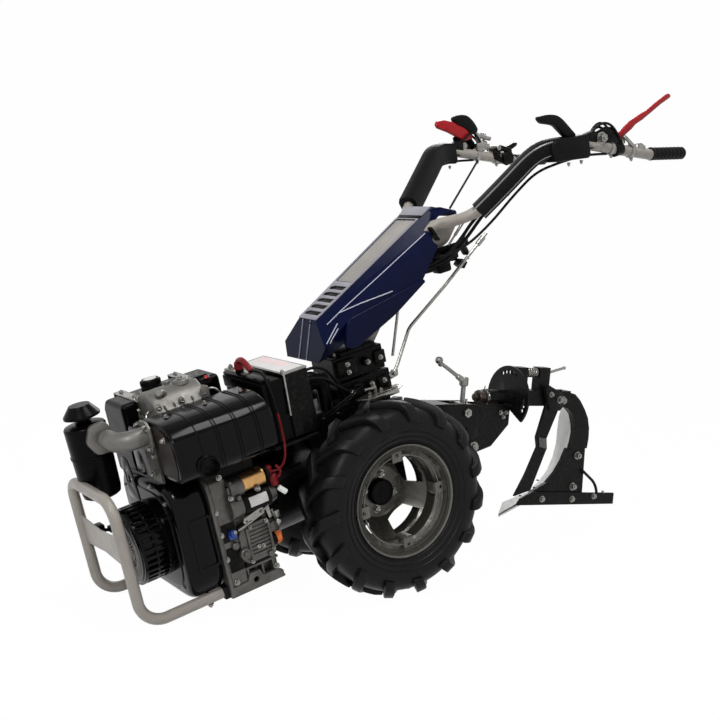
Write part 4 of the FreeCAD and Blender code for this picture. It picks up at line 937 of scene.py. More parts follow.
@dataclass
class Wheel(Assembly):
    """A wheel with its barred tyre, silver rim and black hub."""

    side: Side
    shape: TyreShape = TyreShape()
    bead: Outline = ((59, 160), (59, 154), (48, 154), (50, 170), (62, 200), (64, 240), (40, 256), (0, 258))
    side_rings: Outline = ((176, 68.2), (190, 74.6), (206, 79.4))
    lip: Outline = ((62, 162), (66.4, 162.4), (68.4, 164.6), (68, 167), (65, 168.2), (62, 167.6), (62, 162))
    bolt_circle: float = 53.5
    cap: Outline = ((-56, 0), (-56, 8), (-55, 10), (-54, 12), (-53.6, 30), (-54.6, 34), (-57, 36))

    def __post_init__(self) -> None:
        """Set the wheel's own frame, with its axle at the origin and Y outwards."""
        word = self.side.word
        self.body = f"wheel_{word}"
        low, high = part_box(f"tyre_{word}")
        middle = (low.y + high.y) / 2 / MM
        self.place = (self.frames.machine @ Matrix.Translation((0, middle, self.frames.radius))
                      @ Matrix.Diagonal((1, self.side.value, 1, 1)))

    def build(self) -> None:
        """Build the tyre, the rim and the hub."""
        self.tyre()
        self.rim()
        self.hub()

    def bar(self, side: int, turn: float) -> BMesh:
        """Return one tread bar, swept back from the crown line round the shoulder.

        Args:
            side: 1 for the outer half of the tread, -1 for the inner.
            turn: its place round the tyre, in radians.

        Returns:
            The bar's own bmesh.
        """
        shape = self.shape
        part = bmesh.new()
        bmesh.ops.create_cube(part, size=1)
        long_edges = [e for e in part.edges if abs(e.verts[0].co.x - e.verts[1].co.x) > 0.5]
        bmesh.ops.subdivide_edges(part, edges=long_edges, cuts=9, use_grid_fill=True)
        for vert in part.verts:
            along, across, top = vert.co.x + 0.5, vert.co.y, vert.co.z > 0
            surface = -shape.overlap + (shape.reach + shape.overlap) * along
            spot, out = shape.along(max(surface, 0))
            height = shape.bar_height * (1 - 0.55 * max(0, (along - 0.62) / 0.38) ** 1.3) if top else -9
            flare = 1 if top else 1.28
            width = shape.bar_width * (0.86 + 0.3 * along) * flare
            swept = shape.bar_sweep * (1 - (1 - along) ** 1.55)
            place = spot + out * height
            across_y = place.x + min(surface, 0)
            angle = turn - (swept - across * width) / shape.crown
            vert.co = Vector((math.sin(angle) * place.y, side * across_y, math.cos(angle) * place.y))
        bmesh.ops.recalc_face_normals(part, faces=part.faces)
        Form.soften(part, 2.6, 42, 2)
        return part

    def tyre(self) -> None:
        """Build the casing with its side rings, and the bars in two staggered rows."""
        casing = self.shape.casing
        outside = [(-y, r) for y, r in reversed(casing)] + list(casing[1:])
        inside = [*self.bead, *((-y, r) for y, r in reversed(self.bead[:-1]))]
        form = self.form().lathe(outside + inside + outside[:1], Y, steps=128)
        for radius, y in self.side_rings:
            for sign in (1, -1):
                inner, outer = sign * (y - 2), sign * (y + 0.9)
                ring = [(inner, radius - 3), (outer, radius - 1.2), (outer, radius + 1.2), (inner, radius + 3),
                        (inner, radius - 3)]
                form.lathe(ring, Y, steps=96)
        count = self.shape.bars
        for index in range(count):
            for side, shift in ((1, 0.0), (-1, 0.5)):
                form.take(self.bar(side, TAU * (index + shift) / count))
        form.piece(f"tyre_{self.side.word}_rubber", TYRE, [f"tyre_{self.side.word}"], smooth=38)

    def rim(self) -> None:
        """Build the rim with its dished disc and windows, the ears' legs and the wheel bolts."""
        word = self.side.word
        self.form().copy_of(f"rim_{word}").piece(f"rim_{word}_shape", WHEEL, [f"rim_{word}"], 30, 0.7)
        (self.form().lathe(self.lip, Y, steps=96)
         .lathe([(45, 131), (47, 130), (49, 131), (49, 134), (45, 134), (45, 131)], Y, steps=96)
         .piece(f"rim_{word}_lip", WHEEL))
        # A darker band ring on the flange face, and a dark sleeve inside the barrel that is painted shade.
        (self.form().lathe([(62, 150), (66.3, 151), (66.3, 160.6), (62, 160.6), (62, 150)], Y, steps=96)
         .lathe([(-66, 130.6), (24, 130.6), (24, 131.9), (-66, 131.9), (-66, 130.6)], Y, steps=96)
         .piece(f"rim_{word}_well", HOUSING))
        legs = self.form()
        legs.block((114, 10, -17), (118, 47, 17), 0.8)
        legs.slab([(150, 46), (118, 46), (118, 24), (150, 36)], 15.5, 18.5, XY, 0.5)
        first = legs.mesh.copy()
        legs.mesh.clear()
        for turn in polar(4, Y, -4):
            legs.take(first.copy(), turn)
        first.free()
        legs.piece(f"rim_{word}_legs", WHEEL)
        bolts = self.form()
        for index in range(4):
            angle = math.radians(21 + 90 * index)
            spot = (self.bolt_circle * math.cos(angle), -77, self.bolt_circle * math.sin(angle))
            bolts.bolt(spot, LEFT, 17, 9, 2)
        bolts.piece(f"rim_{word}_bolts", ZINC)

    def hub(self) -> None:
        """Build the hub's flange and its black cap with a raised ring."""
        word = self.side.word
        self.form().copy_of(f"hub_{word}").piece(f"hub_{word}_shape", HUB, [f"hub_{word}"], 34, 0.8)
        self.form().lathe(self.cap, Y, steps=48).piece(f"hub_{word}_cap", HUB)


# ---- engine


@dataclass
class Recoil(Assembly):
    """The recoil starter: a slotted black drum, its grey face and the silver blades in it."""

    centre: Point = (0, 0, 370)
    hoops: Outline = ((648, 661), (689, 696), (724, 735))
    fins: int = 34
    blades: int = 18

    def build(self) -> None:
        """Build the drum, its face, the blades and the pull handle."""
        drum = self.form()
        drum.lathe([(649, 0), (649, 103), (722, 103), (722, 92), (714, 88), (714, 0)], X, self.centre, 72)
        for low, high in self.hoops:
            drum.lathe([(low, 96), (low, 110), (low + 2, 112), (high - 2, 112), (high, 110), (high, 96), (low, 96)],
                       X, self.centre, 72)
        drum.lathe([(716, 96), (716, 104), (735, 104), (738, 100), (738, 92), (730, 90), (716, 96)], X,
                   self.centre, 72)
        bars = self.form()
        bars.block((658, -4.6, 472), (730, 4.6, 481.6), 1.2)
        bars.again(ringed(self.centre, self.fins, X))
        drum.take(bars.mesh)
        drum.piece("recoil_drum", SHROUD, ["recoil_starter"])
        (self.form()
         .lathe([(726, 58), (736, 58), (738, 61), (738.5, 90), (736, 95), (726, 95), (726, 58)], X,
                self.centre, 64)
         .piece("recoil_face", HOUSING))
        (self.form().block((719, -1.6, 384), (733, 1.6, 429), 0.6, about(self.centre, Matrix.Rotation(0.3, 4, "X")))
         .again(ringed(self.centre, self.blades, X))
         .lathe([(716, 0), (734, 0), (735, 8), (733, 14), (716, 15)], X, self.centre, 32)
         .lathe([(724, 36), (733, 36), (733, 39), (724, 39), (724, 36)], X, self.centre, 48)
         .piece("recoil_blades", ALUMINIUM))
        (self.form().block((744, -168, 384), (770, -128, 414), 5)
         .rod((735, -104, 399), (760, -140, 399), 5)
         .block((728, -122, 392), (742, -96, 410), 3).piece("recoil_handle", TANK))


@dataclass
class Engine(Assembly):
    """The engine: its shroud, iron castings, cylinder head and the fittings on its side."""

    shell: Outline = ((-188, 206), (188, 206), (188, 552), (-188, 552))
    shell_face: Outline = ((-150, 236), (150, 236), (150, 520), (-150, 520))
    panel: Outline = ((556, 296), (612, 296), (617, 302), (617, 440), (612, 446), (556, 446), (551, 440), (551, 302))
    panel_hole: Outline = (
        (561, 304), (607, 304), (610, 308), (610, 434), (606, 438), (561, 438), (558, 434), (558, 308))
    flange_half: float = 193
    flange_top: float = 553
    flange_low: float = 186
    barrel_fins: Sequence[int] = range(535, 690, 15)
    foot: Outline = (
        (376, 186), (543, 186), (543, 204), (532, 216), (488, 216), (478, 236), (446, 236), (438, 216), (392, 216),
        (376, 206))
    pump_ribs: Sequence[int] = (280, 291, 302, 313, 324, 335, 346, 357)
    solenoid: Point = (0, 183, 492)
    motor: Point = (0, 177, 431)
    head_ribs: Sequence[int] = (442, 470, 498, 526, 554)

    def build(self) -> None:
        """Build every piece."""
        self.shroud()
        self.block()
        self.side_castings()
        self.starter()
        self.head()
        self.bracket()

    def shroud(self) -> None:
        """Build the pressed fan shroud with its sunk panel, and the cast flange behind it."""
        (self.form().slab(fillet(self.shell, 88, 9), 545, 648, YZ, 26)
         .slab(fillet(self.shell_face, 90, 9), 640, 651.5, YZ, 6).piece("shroud_shell", SHROUD, ["fan_shroud"], 40))
        panel = self.form()
        for side in (1, -1):
            low, high = sorted((187 * side, 190.5 * side))
            panel.slab(self.panel, low, high, XZ, 1.6, [self.panel_hole])
        panel.piece("shroud_panel", SHROUD)
        flange = self.form()
        half, top, low = self.flange_half, self.flange_top, self.flange_low
        edge = [(-half, low), (half, low), (half, top - 62), (half - 8, top - 30), (half - 28, top - 8),
                (half - 62, top), (62 - half, top), (28 - half, top - 8), (8 - half, top - 30), (-half, top - 62)]
        flange.slab(edge, 534, 545, YZ, 2.4)
        flange.piece("shroud_flange", DIECAST)
        (self.form()
         .bolts([(648, y, z) for y, z in ((120, 246), (-120, 246), (140, 500), (-140, 500), (60, 534), (-60, 534))],
                FRONT, 10, 4)
         .piece("shroud_bolts", ZINC))

    def block(self) -> None:
        """Build the crankcase: a cast box with flanges, feet and ribs."""
        case = self.form()
        case.slab([(-165, 204), (165, 204), (165, 480), (140, 515), (-140, 515), (-165, 480)], 376, 480, YZ, 6)
        case.slab([(-188, 204), (188, 204), (188, 520), (165, 544), (-165, 544), (-188, 520)], 484, 534, YZ, 5)
        case.slab([(-58, 500), (80, 500), (80, 699), (-58, 699)], 406, 544, YZ, 6)
        for z in self.barrel_fins:
            case.slab([(404, -64), (560, -64), (560, 84), (404, 84)], z, z + 4, XY, 1)
        for side in (1, -1):
            low, high = sorted((178 * side, 192 * side))
            case.slab(self.foot, low, high, XZ, 2, [circle(462, 212, 8.5)])
        case.block((376, -186, 186), (543, 186, 198), 3)
        case.block((372, -190, 185.4), (545, 190, 192), 2)
        for x in (396, 430, 476, 508):
            case.block((x, 150, 200), (x + 6, 187, 250), 1.6)
        case.block((380, 150, 246), (534, 186, 253), 2)
        case.piece("crankcase", DIECAST, ["engine_block"])
        # Black blocks over parts of the grey crankcase side: painted shade in its recesses.
        (self.form().block((400, 176, 254), (480, 186, 290), 3)
         .block((486, 184, 255), (530, 189.5, 330), 4)
         .block((486, 184, 345), (530, 189.5, 400), 4)
         .block((380, 100, 480), (532, 168, 548), 8)
         .block((336, 96, 300), (378, 150, 470), 10).piece("side_recess_shade", CASTING))
        (self.form()
         .bolts([(x, 189, z) for x, z in ((392, 224), (520, 226), (533, 300), (533, 372), (533, 440), (500, 532))],
                LEFT, 11, 6)
         .piece("crankcase_bolts", ZINC))

    def side_castings(self) -> None:
        """Build the injection pump's ribbed cover, the governor's round housing and the links over them."""
        pump = self.form()
        pump.slab([(386, 262), (470, 262), (486, 276), (486, 346), (472, 374), (396, 374), (384, 362), (384, 276)],
                  164, 192, XZ, 5)
        for z in self.pump_ribs:
            pump.block((392, 190, z), (462, 197, z + 4.6), 1.2)
        pump.block((388, 190, 268), (396, 200, 366), 2)
        pump.block((456, 190, 268), (464, 200, 366), 2)
        pump.rod((478, 180, 298), (478, 203, 298), 19, 28, 16, 2)
        pump.rod((478, 203, 298), (478, 209, 298), 8, 20)
        pump.rod((402, 186, 268), (402, 200, 268), 9)
        pump.rod((370, 176, 340), (398, 176, 340), 13, 24)
        pump.block((352, 150, 318), (388, 176, 356), 4)
        pump.rod((500, 186, 330), (500, 200, 330), 12, 24, 10, 2)
        pump.piece("pump_cover", DIECAST, ["injection_pump"])
        (self.form()
         .slab([(398, 392), (456, 376), (466, 388), (462, 398), (404, 412), (394, 404)], 196, 202, XZ, 1.5,
               [circle(408, 400, 4), circle(455, 388, 3)])
         .slab([(372, 372), (384, 368), (392, 408), (380, 414)], 190, 196, XZ, 1.2)
         .rod((378, 199, 410), (408, 204, 398), 3)
         .rod((352, 176, 330), (372, 196, 392), 3.4)
         .rod((440, 204, 384), (486, 200, 372), 3)
         .rod((362, 186, 352), (362, 204, 352), 7)
         .block((344, 168, 356), (366, 186, 378), 3)
         .bolts([(x, 197, z) for x, z in ((420, 300), (434, 303), (448, 366), (396, 366), (462, 268), (392, 280))],
                LEFT, 8, 4, 1)
         .piece("governor_links", ZINC))
        (self.form().rod((502, 190, 366), (502, 212, 374), 11, 20, 9, 2)
         .block((490, 188, 352), (514, 200, 366), 3).piece("blue_cap", BLUE))
        self.form().rod((502, 210, 374), (502, 218, 378), 6, 6).piece("blue_cap_screw", ZINC)
        (self.form()
         .lathe([(343, 0), (343, 14), (347, 18), (357, 19), (363, 16), (375, 14), (375, 0)], X, (0, 148, 287), 32)
         .block((337, 144, 272), (345, 152, 302), 2.5).piece("filler_cap", ORANGE, ["oil_filler_cap"]))
        self.form().rod((362, 148, 287), (380, 148, 287), 22, 28).piece("filler_neck", CASTING)

    def starter(self) -> None:
        """Build the gold solenoid over the black starter motor, their noses, label and boots."""
        (self.form()
         .lathe([(372, 0), (372, 25), (374, 26.5), (440, 26.5), (442, 24), (442, 0)], X, self.solenoid, 48)
         .piece("solenoid_can", GOLD, ["starter_solenoid"]))
        (self.form().lathe([(366, 0), (366, 30), (370, 33), (450, 33), (453, 30), (453, 0)], X, self.motor, 48)
         .lathe([(366, 0), (366, 24), (356, 22), (354, 0)], X, self.solenoid, 32)
         .piece("starter_barrel", COVER, ["starter_motor"]))
        (self.form().lathe([(442, 0), (442, 29), (474, 31), (484, 34), (484, 0)], X, (0, 181, 488), 40)
         .lathe([(453, 0), (453, 36), (480, 38), (492, 40), (492, 0)], X, (0, 172, 433), 40)
         .block((470, 140, 430), (490, 200, 500), 6)
         .block((458, 196, 458), (470, 212, 470), 2)
         .rod((366, 177, 431), (344, 177, 431), 27, 28, 22, 2).piece("starter_nose", DIECAST))
        label = self.form()
        for step in range(6):
            angle = math.radians(-8 + step * 8)
            y, z = self.motor[1] + 33.6 * math.cos(angle), self.motor[2] + 33.6 * math.sin(angle)
            label.block((380, y - 0.5, z - 2.6), (436, y + 0.5, z + 2.6), 0.2,
                        about((0, y, z), Matrix.Rotation(angle, 4, "X")))
        label.piece("starter_label", LABEL)
        (self.form().rod((352, 188, 512), (352, 188, 488), 12, 20, 9, 3)
         .rod((346, 190, 486), (340, 190, 452), 14, 20, 11, 3)
         .rod((352, 188, 500), (366, 188, 500), 7)
         .pipe([(340, 192, 470), (326, 197, 474), (318, 199, 494), (330, 196, 508)], 4.2).piece("red_boots", VINYL))
        self.form().rod((336, 196, 444), (318, 200, 424), 8, 16, 8, 1).piece("lead_plug", BOARD)
        (self.form().bolt((404, 205, 468), (0, 0.7, 0.7), 12, 7)
         .bolt((478, 200, 508), (0, 0.6, 0.8), 11, 6)
         .bolt((486, 204, 470), LEFT, 11, 6)
         .rod((354, 184, 506), (372, 184, 508), 4)
         .rod((354, 190, 488), (372, 190, 490), 4)
         .bolt((356, 190, 500), (-1, 0.4, 0), 10, 6).piece("starter_screws", ZINC))

    def head(self) -> None:
        """Build the cast rocker cover with its breather, lifting eyes and nuts."""
        head = self.form()
        head.slab([(-52, 700), (80, 700), (80, 726), (66, 744), (56, 756), (22, 775), (-22, 775), (-46, 752),
                   (-52, 726)], 426, 584, YZ, 9)
        head.slab([(-58, 690), (88, 690), (88, 703), (-58, 703)], 416, 592, YZ, 3)
        head.rod((470, 10, 768), (470, 10, 784), 26, 28, 22, 4)
        head.rod((540, 34, 762), (556, 50, 776), 15, 24, 12, 3)
        head.slab([(420, 704), (440, 704), (446, 752), (436, 764), (420, 756)], 70, 78, XZ, 2)
        head.rod((500, -20, 770), (500, -20, 782), 9)
        for x in self.head_ribs:
            head.block((x, -50, 722), (x + 5, 78, 742), 2)
        head.piece("rocker_cover", ALUMINIUM, ["cylinder_head"])
        (self.form()
         .bolts([(x, y, 738) for x, y in ((436, 70), (436, -40), (574, 70), (574, -40), (505, 72))], UP, 13, 8)
         .bolt((470, 10, 784), UP, 12, 6).piece("head_nuts", ZINC))
        (self.form().pipe([(586, 40, 730), (606, 44, 734), (610, 60, 690), (600, 84, 640), (560, 90, 590)], 3.2)
         .pipe([(430, 60, 742), (400, 70, 752), (380, 78, 700), (372, 90, 600), (372, 120, 520)], 3.2)
         .piece("injector_pipes", ZINC))

    def bracket(self) -> None:
        """Build the sheet bracket in front of the cylinder, with its window, and a thick plate behind it."""
        (self.form()
         .slab([(-118, 470), (-40, 470), (-52, 560), (-66, 590), (-92, 598), (-112, 590), (-120, 570)], 651, 654,
               YZ, 0.8, [[(-108, 520), (-72, 516), (-76, 556), (-106, 558)]])
         .slab([(-60, 540), (84, 540), (84, 560), (70, 690), (-50, 690), (-60, 660)], 604, 632, YZ, 8)
         .piece("front_bracket", SHROUD))


@dataclass
class FuelSystem(Assembly):
    """The black fuel tank, its cap and the zinc straps round it."""

    cap: Point = (500, -145, 0)
    cap_ribs: int = 24
    bands: Sequence[float] = (385, 560)
    band_width: float = 30
    band: Outline = (
        (-225, 540), (-222, 540), (-222, 745), (-86, 745), (-58, 715), (-58, 700), (-55, 700), (-55, 717), (-85, 748),
        (-225, 748))
    ear: Outline = ((-62, 700), (-40, 700), (-40, 760), (-62, 772))

    def build(self) -> None:
        """Build every piece."""
        self.refine("fuel_tank", TANK, 14, 40)
        cap = self.form()
        cap.lathe([(744, 0), (744, 29), (748, 31), (752, 31), (756, 29), (770, 28), (774, 25), (774, 0)], Z,
                  self.cap, 48)
        cap.block((-1.6, -30, 757), (1.6, -27, 771), 0.6, Matrix.Translation(self.cap))
        ribs = self.form()
        ribs.block((498.6, -116.8, 757), (501.4, -114.2, 770), 0.6)
        ribs.again(ringed(self.cap, self.cap_ribs, Z))
        cap.take(ribs.mesh)
        cap.piece("fuel_cap_lid", TANK, ["fuel_cap"])
        (self.form().lathe([(773, 0), (775.4, 0), (775.4, 18), (773, 20)], Z, self.cap, 40)
         .piece("fuel_cap_top", LABEL))
        straps = self.form()
        for low in self.bands:
            high = low + self.band_width
            straps.slab(self.band, low, high, YZ, 0.8)
            straps.slab(self.ear, low + 4, low + 8, YZ, 0.6, [circle(-50, 730, 4)])
            straps.slab(self.ear, high - 8, high - 4, YZ, 0.6)
            straps.block((low, -64, 744), (high, -40, 748), 0.8)
            straps.bolt((low + 15, -52, 748), UP, 11, 7)
            straps.bolts([(low + 15, y, 748) for y in (-200, -100)], UP, 9, 4)
        straps.piece("tank_bands", ZINC, ["tank_straps"])
        (self.form().lathe([(0, 0), (0, 21), (4, 24), (60, 24), (66, 20), (66, 0)], X, (374, -20, 742), 36)
         .block((380, -30, 760), (430, -10, 768), 2).piece("fuel_filter", TANK))
        (self.form().rod((372, -20, 742), (380, -20, 742), 17, 24)
         .rod((384, -2, 756), (392, 8, 764), 6, 12).piece("filter_marks", RED))


@dataclass
class Exhaust(Assembly):
    """The ribbed muffler shield, its port plate and the tailpipe."""

    section: Outline = ((81, 573), (81, 735), (206, 735), (252, 720), (281, 690), (284, 600), (262, 574))
    rib_section: Outline = (
        (84, 576), (84, 737.5), (206, 737.5), (253.5, 722), (283.5, 691), (286.5, 600), (263, 571.5), (206, 571.5))
    front_section: Outline = ((96, 588), (96, 722), (200, 722), (244, 708), (268, 682), (270, 612), (252, 588))
    ribs: Sequence[float] = (388, 396, 446, 454, 504, 512, 562)
    rib_width: float = 3.2
    tail: Point = (560, 0, 606)

    def build(self) -> None:
        """Build every piece."""
        (self.form().slab(fillet(self.section, 30, 7), 343, 636, YZ, 7)
         .piece("muffler_shell", SHROUD, ["muffler"], 34))
        ribs = self.form()
        for x in self.ribs:
            ribs.slab(fillet(self.rib_section, 30, 7), x, x + self.rib_width, YZ, 1.2)
        ribs.piece("muffler_ribs", SHROUD)
        (self.form().bolts([(x, 168, 737) for x in (370, 480, 596)], UP, 9, 5)
         .bolts([(644, y, z) for y, z in ((98, 700), (146, 640), (104, 580), (240, 700), (150, 716))], FRONT, 12, 7)
         .piece("muffler_screws", ZINC))
        (self.form()
         .lathe([(280, 24), (280, 30), (286, 31), (292, 27), (306, 27), (307, 25), (304, 23), (284, 22), (280, 24)],
                Y, self.tail, 48)
         .lathe([(283, 0), (284, 22), (286, 22)], Y, self.tail, 32).piece("tail_pipe", CASTING))
        self.form().slab(fillet(self.front_section, 20), 635, 638.5, YZ, 1).piece("muffler_front", RUSTY)
        self.refine("port_plate", HOUSING, 2)


@dataclass
class Intake(Assembly):
    """The air cleaner, its mushroom cap and the cast elbow to the engine."""

    stand: Point = (744, -66, 0)
    can: Outline = (
        (520, 0), (520, 46), (524, 52), (538, 55), (638, 57.4), (640, 60), (646, 60), (648, 57.6), (716, 58.6),
        (724, 59), (729, 56), (733, 44), (735, 20), (735, 0))
    cap: Outline = (
        (734, 0), (734, 22), (738, 24), (744, 20), (750, 19), (752, 26), (752, 45), (754, 51), (760, 51), (764, 48),
        (779, 36), (784, 32), (787, 30), (787, 0))

    def build(self) -> None:
        """Build every piece."""
        self.form().lathe(self.can, Z, self.stand, 64).piece("cleaner_can", TANK, ["air_cleaner"])
        self.form().lathe(self.cap, Z, self.stand, 56).piece("cleaner_cap", TANK, ["air_cleaner_cap"])
        self.refine("intake_elbow", ALUMINIUM, 1, 50)
        (self.form()
         .slab([(96, 650), (146, 650), (160, 672), (160, 720), (140, 736), (102, 736), (84, 716), (84, 672)], 640,
               650, YZ, 3)
         .slab(fillet([(700, 652), (750, 652), (772, 692), (752, 738), (706, 738), (688, 692)], 14), -10, 9, XZ,
               2)
         .piece("elbow_flanges", ALUMINIUM))
        (self.form().bolts([(650, y, z) for y, z in ((152, 664), (92, 722), (150, 726))], FRONT, 12, 8)
         .piece("elbow_bolts", ZINC))


@dataclass
class Bumper(Assembly):
    """The round-tube bumper with its pressed web and feet."""

    foot: Point = (144, 180)
    bolt_x: float = 600
    bolt_y: float = 161

    def build(self) -> None:
        """Give the bumper soft edges, and add its feet and bolts."""
        self.refine("front_bumper", TUBE, 1.5, 40)
        feet = self.form()
        for side in (1, -1):
            low, high = sorted(y * side for y in self.foot)
            feet.block((540, low, 186), (560, high, 222), 3)
        feet.piece("bumper_feet", PLOUGH)
        bolts = self.form()
        for side in (1, -1):
            x, y = self.bolt_x, self.bolt_y * side
            bolts.bolt((x, y, 188), DOWN, 13, 7)
            bolts.rod((x, y, 190), (x, y, 222), 5)
        bolts.piece("bumper_bolts", ZINC)


@dataclass
class Battery(Assembly):
    """The battery in its tray, with a red terminal boot, a clamp and a blank plate."""

    boot: Outline = ((296, 33, 782), (297, 52, 792), (298, 84, 786), (298, 112, 764))
    sleeve: Outline = ((298, 112, 764), (299, 160, 776), (297, 199, 748), (290, 199, 650))
    lead: Outline = (
        (290, 199, 652), (288, 199, 600), (290, 199, 540), (306, 199, 500), (336, 193, 492), (371, 184, 492))
    hose: Point = (105, 64, 655)
    hose_half: int = 60
    hose_ring: float = 21
    hose_groove: float = 17.5

    def build(self) -> None:
        """Build every piece."""
        (self.form().block((166, -59, 553), (311, 181, 716), 7)
         .block((163, -62, 700), (314, 184, 737), 6)
         .block((280, -56, 737), (311, 178, 746), 3)
         .rod((296, 30, 737), (296, 30, 762), 12, 28).piece("battery_case", TANK, ["battery"]))
        (self.form().slab([(165, -67), (246, -67), (246, 190), (165, 190)], 743.5, 748.5, XY, 0.8)
         .slab([(276, -67), (300, -67), (300, 60), (276, 60)], 740, 750, XY, 1.5)
         .rod((240, 187, 752), (247, 190, 626), 3.6)
         .bolt((240, 182, 748), UP, 10, 6)
         .bolt((288, -44, 750), UP, 12, 8).piece("battery_plate", ZINC, ["battery_clamp"]))
        (self.form().slab([(166, 560), (244, 560), (244, 743), (166, 743)], 184, 189, XZ, 1.5)
         .piece("battery_side", CASTING))
        (self.form().slab([(171, -56), (240, -56), (240, 178), (171, 178)], 748, 749.6, XY, 0.4)
         .piece("battery_label", LABEL))
        (self.form().slab([(176, -40), (206, -40), (206, 120), (176, 120)], 749.4, 749.9, XY, 0.2)
         .piece("battery_label_patch", PINK))
        (self.form().rod((296, 30, 758), (296, 33, 784), 15, 24, 12, 4)
         .pipe(self.boot, 9).piece("terminal_boot", VINYL))
        self.form().pipe(self.sleeve, 4.2).piece("lead_sleeve", GRIP)
        self.form().pipe(self.lead, 3.6).piece("battery_lead_red", VINYL, ["battery_lead"])
        self.refine("battery_tray", CASTING, 1.5)
        hose = self.form()
        half = self.hose_half
        rings = [(x, self.hose_ring if i % 2 else self.hose_groove) for i, x in enumerate(range(-half, half + 6, 5))]
        hose.lathe([(-half, 0)] + rings + [(half + 5, 0)], X, self.hose, 36)
        hose.piece("air_hose_ribs", GRIP)


# ---- gearbox and turret


@dataclass
class Gearbox(Assembly):
    """The gearbox with its bell housing and the turret on it."""

    bell: Point = (0, 0, 370)
    bell_bolts: float = 110
    lid_bolts: Sequence[float] = (-136, -92, -48, 40, 92, 136)
    plate: Outline = ((-158, 70), (-36, 70), (-30, 84), (-30, 126), (-44, 140), (-144, 140), (-158, 128))
    guide: Outline = ((-172, 92), (-20, 92), (-16, 108), (-44, 141), (-148, 144), (-178, 122))
    guide_slot: Outline = ((-140, 120), (-70, 120), (-70, 130), (-140, 130))

    def build(self) -> None:
        """Build every piece."""
        self.refine("transmission_case", CASTING, 3, 36)
        ribs = self.form()
        for angle in range(20, 180, 20):
            turn = about(self.bell, Matrix.Rotation(math.radians(angle), 4, "X"))
            ribs.block((200, 118, 366), (340, 126, 374), 2, turn)
        ribs.block((-128, 60, 540), (140, 84, 566), 4)
        ribs.block((-148, -84, 536), (148, 84, 548), 4)
        ribs.block((-120, 78, 420), (120, 92, 432), 3)
        ribs.piece("case_ribs", CASTING)
        bolts = self.form()
        bolts.bolts([(x, 76, 548) for x in self.lid_bolts], (0, 0.2, 1), 12, 7)
        for angle in range(0, 181, 30):
            turn, reach = math.radians(angle), self.bell_bolts
            bolts.bolt((352, reach * math.cos(turn), self.bell[2] + reach * math.sin(turn)), (-1, 0, 0), 12, 7)
        bolts.piece("case_bolts", ZINC)
        self.refine("turret_base", CASTING, 4)
        (self.form().block((-158, 66, 566), (-120, 84, 606), 4)
         .block((-60, 66, 576), (-30, 86, 612), 4)
         .rod((-20, 70, 590), (-20, 92, 590), 15, 24, 13, 2)
         .rod((-92, 70, 596), (-92, 90, 596), 13, 24, 11, 2)
         .block((10, -50, 576), (42, 50, 604), 5).piece("turret_bosses", CASTING))
        (self.form().slab(self.plate, 561, 566.5, XY, 1, [circle(-60, 118, 6), circle(-128, 118, 6)])
         .block((-150, 136, 556), (-60, 140, 572), 1).piece("shift_plate_shape", ZINC, ["shift_plate"]))
        (self.form().slab(self.guide, 568, 571, XY, 1, [self.guide_slot])
         .block((-148, 140, 560), (-46, 144, 571), 1).piece("shift_guide", ZINC))
        (self.form().bolts(((-20, 92, 590), (-92, 90, 596), (-140, 84, 592)), LEFT, 10, 6)
         .bolts(((-70, 100, 566), (-110, 100, 566), (-50, 128, 566)), UP, 13, 9)
         .rod((-84, 112, 566), (-84, 112, 596), 5)
         .rod((-84, 112, 590), (-40, 124, 598), 4).piece("turret_fixings", ZINC))


@dataclass
class Turret(Assembly):
    """The swinging turret head, the grey column under the hood and the selector rods."""

    body: ClassVar[str] = "handlebars"
    rod: Outline = ((-181, 77, 600), (-200, 76, 620), (-277, 61, 714), (-440, 61, 806), (-632, 61, 924))
    rod_radius: float = 5.4

    def build(self) -> None:
        """Build every piece."""
        self.refine("turret_head", CASTING, 4)
        (self.form().block((-150, -60, 676), (-20, 60, 712), 6)
         .block((-168, 20, 640), (-128, 74, 684), 5)
         .block((-60, 52, 640), (6, 78, 690), 5)
         .rod((-96, 60, 664), (-96, 84, 664), 14, 24, 12, 2)
         .block((-186, -30, 650), (-160, 30, 690), 5).piece("turret_clamps", CASTING))
        (self.form().bolts(((-28, 78, 676), (-28, 78, 652), (-96, 84, 664), (-148, 74, 662)), LEFT, 10, 6)
         .bolts(((-12, 40, 700), (-12, -40, 700), (-150, 40, 700)), UP, 10, 6).piece("turret_bolts", ZINC))
        self.refine("steering_column", TUBE, 3)
        (self.form().rod((-300, 35, 860), (-215, 35, 640), 4.6, 16)
         .pipe(self.rod, self.rod_radius, 2, 3)
         .rod((-590, 61, 898), (-618, 61, 915), 9, 20).piece("selector_rods", ZINC, ["shift_rods"]))
        (self.form().rod((-181, 77, 600), (-181, 92, 600), 7)
         .slab([(-196, 588), (-170, 584), (-164, 600), (-180, 612), (-200, 606)], 70, 76, XZ, 1)
         .piece("selector_arm", ZINC))


# ---- hood


